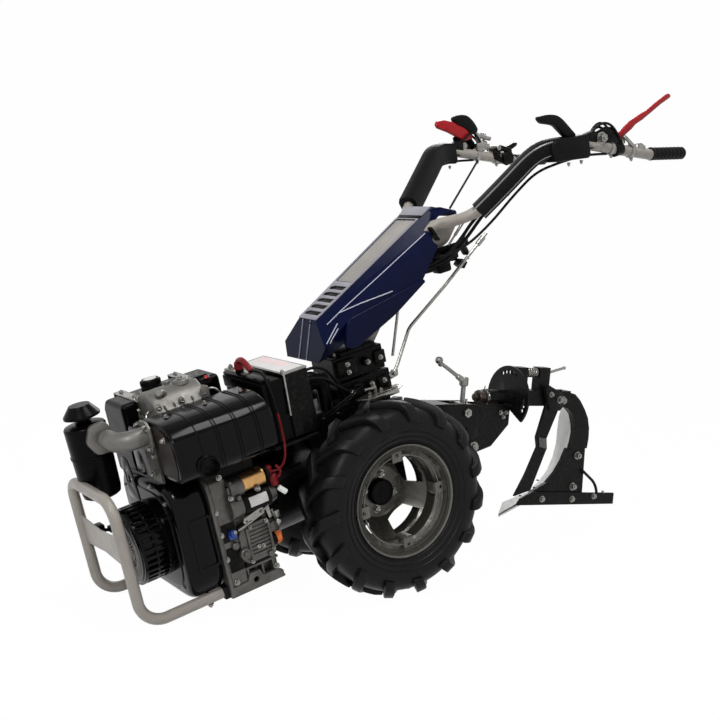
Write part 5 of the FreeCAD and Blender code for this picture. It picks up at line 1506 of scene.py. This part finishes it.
@dataclass
class Hood(Assembly):
    """The folded navy hood with its light lid and slots, painted shade under the slots and round the inset, and pale
    lines of painted highlight along its folds.
    """

    body: ClassVar[str] = "handlebars"
    rear_corner: Outline = (
        (-388, 962), (-440, 880), (-560, 900), (-560, 1024), (-452, 1026), (-420, 1012), (-404, 1006))
    bulge: Outline = ((-32, 818), (-6, 736), (-40, 726), (-200, 786), (-326, 852), (-322, 862))
    lid: Outline = ((2, -49), (8, -51), (466, -61), (466, 61), (8, 51), (2, 49))
    slots: Sequence[float] = (28, 56, 84, 112, 140)
    well: Outline = ((168, -44), (172, -47), (456, -54), (462, -50), (462, 50), (456, 54), (172, 47), (168, 44))
    inset: Outline = ((174, -42), (455, -48), (457, -45), (457, 45), (455, 48), (174, 42), (171, 38), (171, -38))
    visor: Outline = (
        (-428, 1050), (-468, 1049), (-492, 1038), (-528, 1024), (-526, 1007), (-504, 1010), (-486, 1021), (-458, 1022),
        (-436, 1010), (-420, 1030))
    visor_half: float = 70
    tail: Outline = ((-404, 958), (-384, 1002), (-392, 1006), (-414, 960))
    # The pale lines of painted highlight on one side, each just outside the folds.
    highlight_runs: Sequence[Outline] = (
        ((15, 82.5, 812.8), (-36.2, 84.6, 838.6), (-191, 93.5, 908), (-372, 102, 990)),
        ((-29.6, 84.5, 835.6), (-92.8, 111.6, 849), (-119, 119, 852), (-146, 121.2, 853.6), (-206, 121.2, 855.6)),
        ((-9, 103, 811.6), (47, 115.5, 767)), ((-2, 113.6, 799), (38, 119, 766.4)),
        ((33, 22, 827), (59.2, 22, 757), (75.2, 22, 715)), ((33, -22, 827), (59.2, -22, 757), (75.2, -22, 715)))

    def lid_frame(self) -> Matrix:
        """Work out the frame of the lid.

        Returns:
            Its placement: X back along it, Y to the left, Z out of it.
        """
        back, out = Vector((-474, 0, 230)).normalized(), Vector((230, 0, 474)).normalized()
        left = Vector((0, 1, 0))
        turn = Matrix((back, -left, out)).transposed().to_4x4()
        return Matrix.Translation((32, 0, 826)) @ turn

    def build(self) -> None:
        """Build every piece."""
        tool = self.form().slab(self.rear_corner, -140, 140, XZ, 0)
        self.form().copy_of("hood").cut(tool).piece("hood_shape", NAVY, ["hood"], 30, 4)
        bulge = self.form()
        for side in (1, -1):
            bulge.slab(fillet(self.bulge, 24), *sorted((112 * side, 128 * side)), XZ, 7)
        bulge.piece("hood_bulges", NAVY)
        slots = [((u - 8, -38), (u + 8, -44), (u + 8, 24), (u + 2, 42), (u - 8, 42)) for u in self.slots]
        self.form(self.lid_frame()).slab(self.lid, 0.2, 4.2, XY, 1.2, [*slots, self.well]).piece("hood_lid", LID)
        # Black sheets under the lid: painted shade in its slots and round the sunk inset; the band before the cap is a
        # dark joint.
        (self.form(self.lid_frame()).slab([(12, -44), (160, -46), (160, 46), (12, 44)], 0.1, 0.9, XY, 0.2)
         .slab([(166, -47), (462, -54), (462, 54), (166, 47)], 0.1, 0.6, XY, 0.1)
         .slab([(468, -61), (482, -62), (482, 62), (468, 61)], 0.1, 2.4, XY, 0.8).piece("hood_slot_shade", TANK))
        self.form(self.lid_frame()).slab(self.inset, 0.5, 2.2, XY, 0.8).piece("hood_inset", INSET)
        (self.form(self.lid_frame()).slab([(480, -62), (522, -63), (522, 63), (480, 62)], 0.2, 4.4, XY, 1.6)
         .piece("hood_cap", LID))
        # Pale lines along the folds, on both sides: painted highlight.
        lines = self.form()
        for side in (1, -1):
            for run in self.highlight_runs:
                lines.pipe([(x, side * y, z) for x, y, z in run], 1.7, 2, 2)
        lines.piece("hood_fold_highlights", FOLD_HIGHLIGHT)
        (self.form().slab(fillet(self.visor, 8, 3), -self.visor_half, self.visor_half, XZ, 4)
         .piece("hood_visor", NAVY))
        tail = self.form()
        for side in (1, -1):
            tail.slab(self.tail, *sorted((side * 98, side * 118)), XZ, 2)
            tail.bolt((-398, side * 119, 968), (0, side, 0), 9, 4)
        tail.bolt((40, 30, 820), (0.6, 0, 0.8), 6, 2, 0)
        tail.piece("hood_tail_brackets", CASTING)


@dataclass
class Controls(Assembly):
    """The gusset, switch box and cables in the gap behind the hood."""

    body: ClassVar[str] = "handlebars"
    gusset: Outline = ((-372, 902), (-372, 990), (-548, 1002), (-586, 994), (-520, 922), (-470, 906))
    cheek: Outline = ((-430, 930), (-420, 992), (-530, 1000), (-500, 940))

    def build(self) -> None:
        """Build every piece."""
        (self.form().slab(fillet(self.gusset, 14), -7, 7, XZ, 2)
         .slab(fillet(self.cheek, 14), 40, 48, XZ, 2).piece("bar_gusset", TUBE))
        (self.form().block((-470, 30, 846), (-420, 72, 896), 7)
         .block((-500, 40, 880), (-450, 78, 908), 5)
         .block((-560, 52, 905), (-400, 58, 925), 2)
         .rod((-548, 48, 884), (-520, 70, 918), 12, 24).piece("switch_box", TANK))
        (self.form()
         .pipe([(-372, 66, 884), (-430, 84, 890), (-500, 104, 940), (-530, 150, 1000), (-560, 206, 1040)], 5.5)
         .pipe([(-372, 56, 872), (-440, 76, 876), (-520, 96, 930), (-566, 150, 1004), (-590, 222, 1062)], 5.5)
         .pipe([(-372, 46, 864), (-420, 60, 862), (-470, 70, 880), (-520, 80, 920)], 7)
         .pipe([(-568, 30, 856), (-560, 40, 890), (-520, 70, 926), (-540, 140, 1000), (-572, 214, 1050)], 3.4)
         .pipe([(-420, -40, 900), (-520, -120, 990), (-600, -220, 1060)], 4.6).piece("bar_cables", GRIP))
        (self.form().rod((-500, 74, 950), (-540, 84, 990), 5, 16)
         .rod((-470, 72, 926), (-500, 74, 950), 3.4, 16)
         .bolt((-452, 48, 960), LEFT, 10, 6)
         .bolt((-500, 48, 988), LEFT, 10, 6).piece("cable_ends", ZINC))


# ---- handlebars


@dataclass(frozen=True)
class Bend:
    """How one bar's tube and cover run, how wide the cover is, and how far back its upper box starts."""

    cover: Outline
    tube: Outline
    broad: float = 1.0
    back: float = 0.0


BENDS = {
    Side.LEFT: Bend(
        ((-513, 200, 1025), (-590, 256, 1092), (-636, 290, 1136), (-676, 316, 1170), (-730, 330, 1172),
         (-836, 333, 1152)),
        ((-400, 66, 1000), (-440, 100, 1003), (-470, 158, 1010), (-500, 192, 1022), (-532, 214, 1040))),
    Side.RIGHT: Bend(
        ((-528, 188, 1037), (-580, 215, 1066), (-640, 246, 1101), (-706, 280, 1138), (-748, 306, 1162),
         (-792, 328, 1163), (-836, 333, 1152)),
        ((-345, 30, 962), (-372, 50, 988), (-410, 80, 1001), (-450, 118, 1005), (-490, 160, 1017), (-528, 188, 1037),
         (-580, 215, 1066), (-640, 246, 1101), (-706, 280, 1138), (-748, 306, 1162), (-792, 328, 1163),
         (-836, 333, 1154), (-870, 333, 1145)), 1.22, -56),
}


@dataclass
class Handle(Assembly):
    """One handlebar's moulded cover, ribbed grip, levers, clamps and cables."""

    side: Side
    body: ClassVar[str] = "handlebars"
    section: Outline = (
        (-24, -25), (-20, -28), (20, -28), (25, -23), (26, 12), (20, 24), (6, 28), (-6, 28), (-20, 24), (-26, 12))
    tube_radius: float = 17
    grip_start: Point = (-1113, 333, 1065)
    grip_end: Point = (-1256, 333, 1037)
    grip_ribs: int = 7
    clamps: Sequence[float] = (-948, -1030)
    red_left: Outline = (
        (-976, 1136), (-979, 1154), (-1000, 1161), (-1020, 1172), (-1044, 1182), (-1071, 1189), (-1099, 1196),
        (-1121, 1200), (-1165, 1216), (-1212, 1231), (-1226, 1234), (-1234, 1228), (-1232, 1220), (-1186, 1207),
        (-1125, 1185), (-1096, 1175), (-1067, 1168), (-1047, 1157), (-1024, 1148), (-996, 1137))
    black_left: Outline = (
        (-678, 1268), (-724, 1267), (-754, 1257), (-772, 1240), (-798, 1206), (-814, 1186), (-792, 1180), (-772, 1190),
        (-752, 1214), (-738, 1231), (-716, 1239), (-688, 1247))
    red_right: Outline = (
        (-944, 1180), (-908, 1176), (-872, 1200), (-840, 1222), (-800, 1244), (-794, 1256), (-802, 1268), (-834, 1266),
        (-884, 1246), (-930, 1212))
    black_right: Outline = (
        (-868, 1268), (-906, 1271), (-934, 1262), (-956, 1236), (-970, 1204), (-952, 1190), (-930, 1198), (-912, 1226),
        (-878, 1240))

    def __post_init__(self) -> None:
        """Set a frame with Y out from the machine's middle."""
        self.word = self.side.word
        self.bend = BENDS[self.side]
        self.place = self.frames.machine @ Matrix.Diagonal((1, self.side.value, 1, 1))

    def build(self) -> None:
        """Build every piece."""
        self.cover()
        self.grip()
        if self.side is Side.LEFT:
            self.left_levers()
        else:
            self.right_levers()
        self.fittings()

    def cover(self) -> None:
        """Build the moulded cover with its raised spine, and the box at its upper end."""
        cover = self.form()
        back, broad = self.bend.back, self.bend.broad
        cover.sweep(self.bend.cover, [(a * broad, b * broad) for a, b in self.section], 4)
        cover.slab([(-700 + back, 1128), (-836, 1112), (-845, 1120), (-846, 1176), (-836, 1184), (-716 + back, 1188),
                    (-704 + back, 1182), (-698 + back, 1170)], 303, 361, XZ, 5)
        cover.slab([(-826, 1178), (-884, 1186), (-892, 1176), (-884, 1132), (-846, 1136)], 318, 348, XZ, 3)
        cover.piece(f"cover_{self.word}_moulding", COVER, [f"cover_{self.word}"])
        # Two light strips along the cover's upper and lower outer edges: painted highlight.
        (self.form().sweep(self.bend.cover, [(22, 17), (25.6, 14.6), (26.4, 16.4), (23, 19.4)], 4)
         .sweep(self.bend.cover, [(25, -22), (27, -21), (26.6, -19), (25, -19)], 4)
         .piece(f"cover_{self.word}_seam", COVER_HIGHLIGHT))
        under = [(x, y, z - 27) for x, y, z in self.bend.cover[1:3]]
        (self.form().bolts((*under, (-775, 333, 1112), (-826, 333, 1108)), (0.2, 0, -1), 9, 8, 1)
         .piece(f"cover_{self.word}_screws", ZINC))
        replaced = ["handlebar_right"] if self.side is Side.RIGHT else []
        (self.form().pipe(self.bend.tube, self.tube_radius)
         .rod((-840, 333, 1155), (-1113, 333, 1063), self.tube_radius, 40)
         .rod((-1112, 333, 1063.3), (-1200, 333, 1046), 14, 32).piece(f"handlebar_{self.word}_sleeve", TUBE, replaced))

    def grip(self) -> None:
        """Build the rubber grip with its collar and finger ribs."""
        start, end = Vector(self.grip_start), Vector(self.grip_end)
        run = (end - start).length
        profile = [(0, 14.6), (0, 20.6), (5, 21), (8, 19.4)]
        for index in range(self.grip_ribs):
            at = 14 + index * 17
            profile += [(at, 18.6), (at + 5, 20.2), (at + 11, 20.2), (at + 15, 18.6)]
        profile += [(run - 6, 20), (run - 1, 17), (run, 10), (run, 0)]
        (self.form().lathe(profile, Z, steps=40, at=turn_to(end - start, start))
         .piece(f"grip_{self.word}_rubber", GRIP, [f"grip_{self.word}"]))

    def left_levers(self) -> None:
        """Build the long red lever that points back and the black thumb lever."""
        self.form().slab(self.red_left, 328, 338, XZ, 3.4).piece("lever_left_red", RED, ["hand_lever_left"], 50)
        self.thumb(self.black_left)
        (self.form()
         .slab([(-892, 1134), (-892, 1180), (-930, 1188), (-966, 1180), (-984, 1150), (-984, 1116),
                (-940, 1122)], 338, 344, XZ, 2, [circle(-930, 1160, 9)])
         .slab([(-940, 1120), (-940, 1160), (-975, 1150), (-990, 1112)], 320, 326, XZ, 2)
         .lathe([(-960, 16), (-960, 22), (-990, 22), (-990, 16), (-960, 16)], X, (0, 333, 1110), 28)
         .piece("lever_left_bracket", CASTING))

    def right_levers(self) -> None:
        """Build the short red lever that points forward, the black lever over it and their bracket."""
        self.form().slab(self.red_right, 325, 341, XZ, 5).piece("lever_right_red", RED, ["hand_lever_right"], 50)
        self.thumb(self.black_right)
        self.form().pipe([(-952, 333, 1100), (-583, 40, 1017)], 3.6, 2, 3).piece("clutch_stay", GRIP)
        (self.form()
         .slab([(-872, 1128), (-872, 1198), (-900, 1204), (-952, 1182), (-960, 1140)], 346, 352, XZ, 3,
               [circle(-915, 1160, 10)])
         .slab([(-1010, 1090), (-1010, 1126), (-1046, 1134), (-1094, 1112), (-1094, 1060), (-1060, 1056)], 312,
               320, XZ, 3, [circle(-1050, 1100, 12)])
         .slab([(-1090, 1092), (-1150, 1110), (-1156, 1120), (-1140, 1124), (-1080, 1112)], 350, 358, XZ, 2)
         .rod((-1066, 300, 1084), (-1066, 362, 1084), 22, 28).piece("lever_right_bracket", CASTING))
        (self.form().block((-1000, 322, 1128), (-950, 344, 1160), 5)
         .rod((-1020, 333, 1162), (-968, 333, 1186), 8)
         .rod((-986, 333, 1128), (-958, 333, 1202), 8)
         .rod((-1034, 348, 1126), (-1034, 306, 1126), 9)
         .rod((-984, 344, 1150), (-984, 372, 1150), 7)
         .slab([(-968, 1150), (-1010, 1160), (-1016, 1182), (-996, 1190), (-968, 1176)], 344, 350, XZ, 2,
               [circle(-994, 1170, 7)])
         .bolts(((-940, 352, 1150), (-896, 352, 1184), (-1030, 352, 1110), (-884, 352, 1146)), LEFT, 12, 7)
         .piece("lever_right_links", ZINC))

    def thumb(self, outline: Outline) -> None:
        """Build a thick bent black lever of an outline, moulded round its edges."""
        form = self.form().slab(fillet(outline, 14, 4), 321, 345, XZ, 4.6)
        form.piece(f"thumb_{self.word}", GRIP, ["thumb_levers"], 50)

    def fittings(self) -> None:
        """Build the clamps, the bolt heads and the looped cables on the tube."""
        clamps = self.form()
        slope = Vector((-249, 0, -84)).normalized()
        for x in self.clamps:
            middle = Vector((x, 333, 1154 - (-843 - x) * 0.3373))
            clamps.lathe([(-7, 16), (-7, 20), (-5, 21), (5, 21), (7, 20), (7, 16), (-7, 16)], Z, steps=36,
                         at=turn_to(slope, middle))
            clamps.rod(middle + Vector((0, 0, -26)), middle + Vector((0, 0, 26)), 3.4, 12)
            clamps.bolt(middle + Vector((0, 0, -21)), DOWN, 9, 6)
        clamps.bolt((-908, 346, 1158), LEFT, 24, 12, 3)
        clamps.block((-1012, 328, 1120), (-1000, 338, 1148), 2)
        clamps.rod((-1002, 344, 1146), (-1040, 344, 1102), 6)
        clamps.slab([(-1030, 1100), (-1034, 1112), (-1072, 1108), (-1088, 1094), (-1084, 1086)], 342, 346, XZ, 1,
                    [circle(-1052, 1104, 5)])
        clamps.piece(f"bar_{self.word}_clamps", ZINC)
        (self.form()
         .pipe([(-880, 340, 1182), (-905, 344, 1202), (-950, 348, 1196), (-984, 344, 1146), (-990, 342, 1120)], 4)
         .pipe([(-884, 330, 1180), (-905, 330, 1194), (-936, 332, 1184), (-955, 334, 1142)], 4)
         .pipe([(-890, 320, 1178), (-920, 318, 1206), (-962, 322, 1190), (-978, 330, 1136)], 3.6)
         .piece(f"bar_{self.word}_loops", GRIP))


# ---- hitch and plough


@dataclass
class Hitch(Assembly):
    """The hitch bracket, the coupling with its lock disc, and the depth crank."""

    rail: Outline = ((20, -18), (224, -18), (228, -24), (228, -50), (214, -50), (214, -30), (20, -30))
    cheek: Outline = ((150, -40), (196, -40), (196, -112), (176, -150), (150, -120))
    screw: Point = (192, 0, 0)

    def __post_init__(self) -> None:
        """Set the plough shaft's frame."""
        self.place = self.frames.shaft

    def build(self) -> None:
        """Build every piece."""
        self.refine("hitch_bracket", PLOUGH, 2.5)
        self.refine("coupling", PLOUGH, 1.4)
        (self.form().slab(self.rail, 36, 41, XZ, 1)
         .slab(self.cheek, 36, 42, XZ, 2)
         .lathe([(88, 16), (88, 27), (92, 28), (96, 27), (96, 16), (88, 16)], X, steps=40)
         .slab([(60, -30), (100, -30), (96, -12), (64, -12)], -30, 30, XZ, 2).piece("coupling_web", PLOUGH))
        (self.form().bolt((207, 44, -45), LEFT, 27, 12, 3)
         .bolt((162, 42, -158), LEFT, 22, 10, 3)
         .bolt((60, 41, -46), LEFT, 10, 6)
         .bolt((36, 41, -46), LEFT, 10, 6)
         .bolt((48, 41, -60), LEFT, 9, 6)
         .rod((210, 44, -20), (210, 44, 0), 4).piece("hitch_bolts", ZINC))
        (self.form().rod((192, 0, -40), (192, 0, 52), 8)
         .lathe([(36, 0), (36, 12), (40, 15), (62, 15), (66, 12), (66, 0)], Z, self.screw, 32)
         .rod((192, 0, 52), (296, 0, 112), 7, 20, 6)
         .rod((196, 0, 54), (222, 0, 69), 11, 24, 9, 2)
         .ball((299, 0, 118), 13)
         .ball((292, 0, 106), 9)
         .block((178, -29, -41), (206, 29, -18), 3).piece("crank_handle", STEEL, ["depth_crank"]))


@dataclass
class Plough(Assembly):
    """The beam on its shaft, the spring-loaded lock pin, coulter, frog, landside, share and mouldboard."""

    body: ClassVar[str] = "plough"
    nut: Outline = ((97, 0), (97, 23), (99, 24), (130, 24), (132, 22), (132, 15), (129, 13), (129, 0))
    ring_radius: float = 26
    pin_height: float = 85
    coil_start: float = -110
    coil_length: float = 43
    coil_radius: float = 15
    coil_turns: int = 8
    coil_steps: int = 14
    clamp_plate: Outline = ((-132, 50), (-202, 20), (-212, -22), (-196, -40), (-150, -38), (-124, 30))

    def __post_init__(self) -> None:
        """Set the plough shaft's frame."""
        self.place = self.frames.shaft

    def build(self) -> None:
        """Build every piece."""
        for node in ("plough_beam", "coulter", "frog", "landside"):
            self.refine(node, PLOUGH, 1.6, 26)
        self.refine("brace_rod", PLOUGH, 0, 40)
        self.shaft()
        self.pin()
        self.clamp()
        self.blades()
        self.fixings()

    def shaft(self) -> None:
        """Build the shaft's end with its brass-coloured nut and split ring."""
        ring = self.ring_radius
        (self.form().lathe([(-14, 0), (-14, 17), (92, 17), (92, 17.5), (98, 17.5), (98, 0)], X, steps=40)
         .piece("shaft_round_bar", PLOUGH, ["plough_shaft"]))
        (self.form().lathe(self.nut, X, steps=8)
         .lathe([(128, 0), (145, 0), (147, 2), (147, 9), (145, 12), (128, 12)], X, steps=28)
         .piece("shaft_nut", BRONZE))
        (self.form()
         .pipe([(104, ring * math.sin(a), ring * math.cos(a)) for a in (TAU * i / 14 for i in range(15))], 1.8, 3, 2)
         .pipe([(104, 0, ring), (104, 2, 34), (106, 6, 38)], 1.6, 3, 2)
         .rod((93, 0, 0), (99, 0, 0), ring, 36).piece("shaft_ring", ZINC))

    def pin(self) -> None:
        """Build the lock pin in its coil spring, with washers and a bent handle."""
        level = self.pin_height
        pin = self.form()
        pin.rod((-171, 0, level), (-5, 0, level), 6, 24)
        pin.rod((-166, 0, level), (-238, 0, level + 18), 5, 20)
        pin.ball((-238, 0, level + 18), 6.5)
        for x in (-114, -66):
            pin.rod((x, 0, level), (x + 3, 0, level), 14, 28)
        pin.rod((-164, -14, level), (-164, 14, level), 3, 12)
        pin.piece("lock_pin_bar", ZINC, ["lock_pin"])
        count, steps, radius = self.coil_turns * self.coil_steps, self.coil_steps, self.coil_radius
        coil = [(self.coil_start + self.coil_length * i / count, radius * math.sin(TAU * i / steps),
                 level + radius * math.cos(TAU * i / steps)) for i in range(count + 1)]
        self.form().pipe(coil, 2.1, 3, 2).piece("lock_spring", ZINC)

    def clamp(self) -> None:
        """Build the coulter's clamp plate on the beam, with its two bolts, and a grey patch of painted highlight where
        the coulter twists.
        """
        (self.form().slab(self.clamp_plate, 38, 46, XZ, 2)
         .slab([(-132, 40), (-190, 26), (-196, -30), (-140, -32)], -34, -27, XZ, 2).piece("coulter_clamp", PLOUGH))
        # A grey patch on the coulter: painted highlight on its twist.
        (self.form().slab([(-118, -131), (-152, -136), (-158, -173), (-122, -163)], 38.3, 40.5, XZ, 1)
         .piece("coulter_twist_highlight", WORN_AND_HIGHLIGHT))
        (self.form().bolt((-191, 46, -2), LEFT, 16, 10)
         .bolt((-216, 30, -6), LEFT, 20, 12)
         .bolt((-150, 46, 16), LEFT, 12, 7).piece("clamp_bolts", ZINC))

    def blades(self) -> None:
        """Build the white mouldboard and share as curved sheets with dark edges."""
        self.form().copy_of("mouldboard").piece("mouldboard_sheet", BOARD, ["mouldboard"], 60, 0.8)
        self.form().copy_of("share").piece("share_blade", BOARD, ["share"], 30, 0.8)
        edge = self.form()
        edge.pipe([(-2, 2, -400), (-92, 2, -362), (-150, 2, -337)], 3, 2, 2)
        for x, y, z in ((-118, -30, -346), (-140, -60, -344), (-186, -40, -322), (-214, -56, -300)):
            edge.ball((x, y, z), 5, (1, 1, 0.6))
        edge.piece("share_edge", WORN_AND_HIGHLIGHT)

    def fixings(self) -> None:
        """Build the plough bolts on the frog and landside."""
        bolts = self.form()
        for x, z, size in ((-332, -204, 18), (-322, -314, 18)):
            bolts.bolt((x, 5, z), LEFT, size, 12, 3)
        bolts.bolts([(x, 14, z) for x, z in ((-179, -351), (-318, -357), (-422, -350))], LEFT, 15, 7)
        bolts.bolt((-470, 8, -342), UP, 9, 5)
        bolts.piece("plough_bolts", ZINC)


KINDS = (Recoil, Engine, FuelSystem, Exhaust, Intake, Bumper, Battery, Gearbox, Turret, Hood, Controls, Hitch, Plough)


# ---- studio


@dataclass
class Studio:
    """The camera, the white floor and the soft lights, in metres."""

    frames: Frames
    pitch: float = math.radians(1.646)
    axle: Point = (0, 0, 0.295)
    eye: Point = (1.917, 3.075, 1.152)
    back: Point = (0.5308, 0.8373, 0.1311)
    right: Point = (-0.8446, 0.5354, 0)
    lens_mm: float = 59.8
    whiteness: float = 0.985
    floor_curve: Outline = ((0.0, 0.0), (14.0, 0.0), (17.0, 0.5), (18.5, 2.0), (19.0, 5.0), (19.0, 22.0))
    # Each soft light's name, place, size and watts.
    lamps: Sequence[tuple] = (("key", (2.9, 1.9, 2.6), 0.7, 60), ("top", (0.3, 0.9, 3.6), 1.3, 60),
                              ("back", (-2.2, -2.6, 2.6), 1.0, 30))
    aim: Point = (0, 0, 0.6)

    def lean(self, way: Point) -> Vector:
        """Turn a direction nose down by the last part of the machine's pitch."""
        return Matrix.Rotation(self.pitch, 3, "Y") @ Vector(way)

    def camera(self) -> None:
        """Create the camera."""
        lens = bpy.data.cameras.new("camera")
        lens.lens, lens.sensor_width, lens.clip_start, lens.clip_end = self.lens_mm, 36.0, 0.1, 60.0
        made = add_object("camera", lens)
        back, right = self.lean(self.back).normalized(), self.lean(self.right).normalized()
        up = back.cross(right).normalized()
        right = up.cross(back)
        axle, ahead = Vector(self.axle), Vector((self.frames.axle.x, 0, 0))
        spot = self.lean(Vector(self.eye) - axle) + axle + ahead
        turn = Matrix((right, up, back)).transposed().to_4x4()
        made.matrix_world = Matrix.Translation(spot) @ turn
        bpy.context.scene.camera = made

    def floor(self) -> None:
        """Lay a wide white floor that turns up into a far backdrop all round."""
        part = bmesh.new()
        spots = [part.verts.new((radius, 0, height)) for radius, height in self.floor_curve]
        edges = [part.edges.new(pair) for pair in zip(spots, spots[1:])]
        bmesh.ops.spin(part, geom=spots + edges, cent=(0, 0, 0), axis=(0, 0, 1), angle=TAU, steps=96,
                       use_merge=True, use_duplicate=False)
        bmesh.ops.remove_doubles(part, verts=part.verts, dist=1e-4)
        bmesh.ops.recalc_face_normals(part, faces=part.faces)
        bmesh.ops.reverse_faces(part, faces=part.faces)
        data = bpy.data.meshes.new("floor")
        part.to_mesh(data)
        part.free()
        white = bpy.data.materials.new("studio_white")
        white.use_nodes = True
        tree = white.node_tree
        tree.nodes.clear()
        rays = add_node(tree, "LightPath").outputs
        shiny = add_node(tree, "Math", {0: rays["Is Glossy Ray"], 1: rays["Is Transmission Ray"]},
                         operation="MAXIMUM").outputs[0]
        seen = add_node(tree, "Math", {0: rays["Is Camera Ray"], 1: self.whiteness}, operation="MULTIPLY")
        share = add_node(tree, "Math", {0: seen.outputs[0], 1: shiny}, operation="MAXIMUM").outputs[0]
        matt = add_node(tree, "BsdfDiffuse", {"Color": linear("f6f6f6")})
        bright = add_node(tree, "Emission", {"Color": linear("ffffff"), "Strength": 1.0})
        mixed = add_node(tree, "MixShader", {0: share, 1: matt.outputs[0], 2: bright.outputs[0]})
        add_node(tree, "OutputMaterial", {"Surface": mixed.outputs[0]})
        data.materials.append(white)
        data.polygons.foreach_set("use_smooth", [True] * len(data.polygons))
        add_object("floor", data)

    def lights(self) -> None:
        """Set a big soft key from the front left, a wide fill, and a pale world."""
        for name, spot, size, power in self.lamps:
            lamp = bpy.data.lights.new(name, "AREA")
            lamp.shape, lamp.size, lamp.energy = "SQUARE", size, power
            held = add_object(name, lamp)
            held.location = spot
            held.rotation_mode = "QUATERNION"
            held.rotation_quaternion = (Vector(spot) - Vector(self.aim)).to_track_quat("Z", "Y")
        world = bpy.data.worlds.new("studio")
        world.use_nodes = True
        tree = world.node_tree
        tree.nodes.clear()
        seen = add_node(tree, "LightPath").outputs["Is Camera Ray"]
        level = add_node(tree, "MapRange", {"Value": seen, "To Min": 0.42, "To Max": 1.0}).outputs[0]
        sky = add_node(tree, "Background", {"Color": linear("ffffff"), "Strength": level})
        add_node(tree, "OutputWorld", {"Surface": sky.outputs[0]})
        bpy.context.scene.world = world
        bpy.context.scene.view_settings.view_transform = "Standard"

    def build(self) -> None:
        """Make everything round the object."""
        self.camera()
        self.floor()
        self.lights()


# ---- the whole


DRESSES = {
    TYRE: ("tyre_left", "tyre_right"),
    WHEEL: ("rim_left", "rim_right"),
    HUB: ("hub_left", "hub_right"),
    CASTING: ("transmission_case", "turret_base", "turret_head", "breather_hose", "steering_column"),
    DIECAST: ("engine_block", "injection_pump", "port_plate"),
    ALUMINIUM: ("cylinder_head",),
    SHROUD: ("fan_shroud", "recoil_starter", "muffler"),
    TANK: ("fuel_tank", "fuel_cap", "air_cleaner", "air_cleaner_cap", "intake_elbow", "battery", "oil_filler_cap"),
    ZINC: ("tank_straps", "shift_plate", "battery_clamp", "battery_tray", "shift_rods", "lock_pin", "depth_crank",
           "brace_rod"),
    GOLD: ("starter_motor", "starter_solenoid"),
    TUBE: ("front_bumper", "handlebar_left", "handlebar_right"),
    NAVY: ("hood",),
    COVER: ("cover_left", "cover_right"),
    GRIP: ("grip_left", "grip_right", "handle_cables", "clutch_cables", "turret_cables", "key_switch"),
    RED: ("battery_lead",),
    PLOUGH: ("hitch_bracket", "coupling", "plough_shaft", "plough_beam", "coulter", "frog", "landside", "share"),
    BOARD: ("mouldboard",),
}


def main() -> None:
    """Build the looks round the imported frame."""
    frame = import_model()
    frames = Frames.read(frame["joints"])
    Studio(frames).build()
    for finish, nodes in DRESSES.items():
        for node in nodes:
            dress(node, finish)
    parts = [kind(frames, side) for kind in (Wheel, Handle) for side in Side] + [kind(frames) for kind in KINDS]
    for part in parts:
        part.build()


if __name__ == "__main__":
    main()
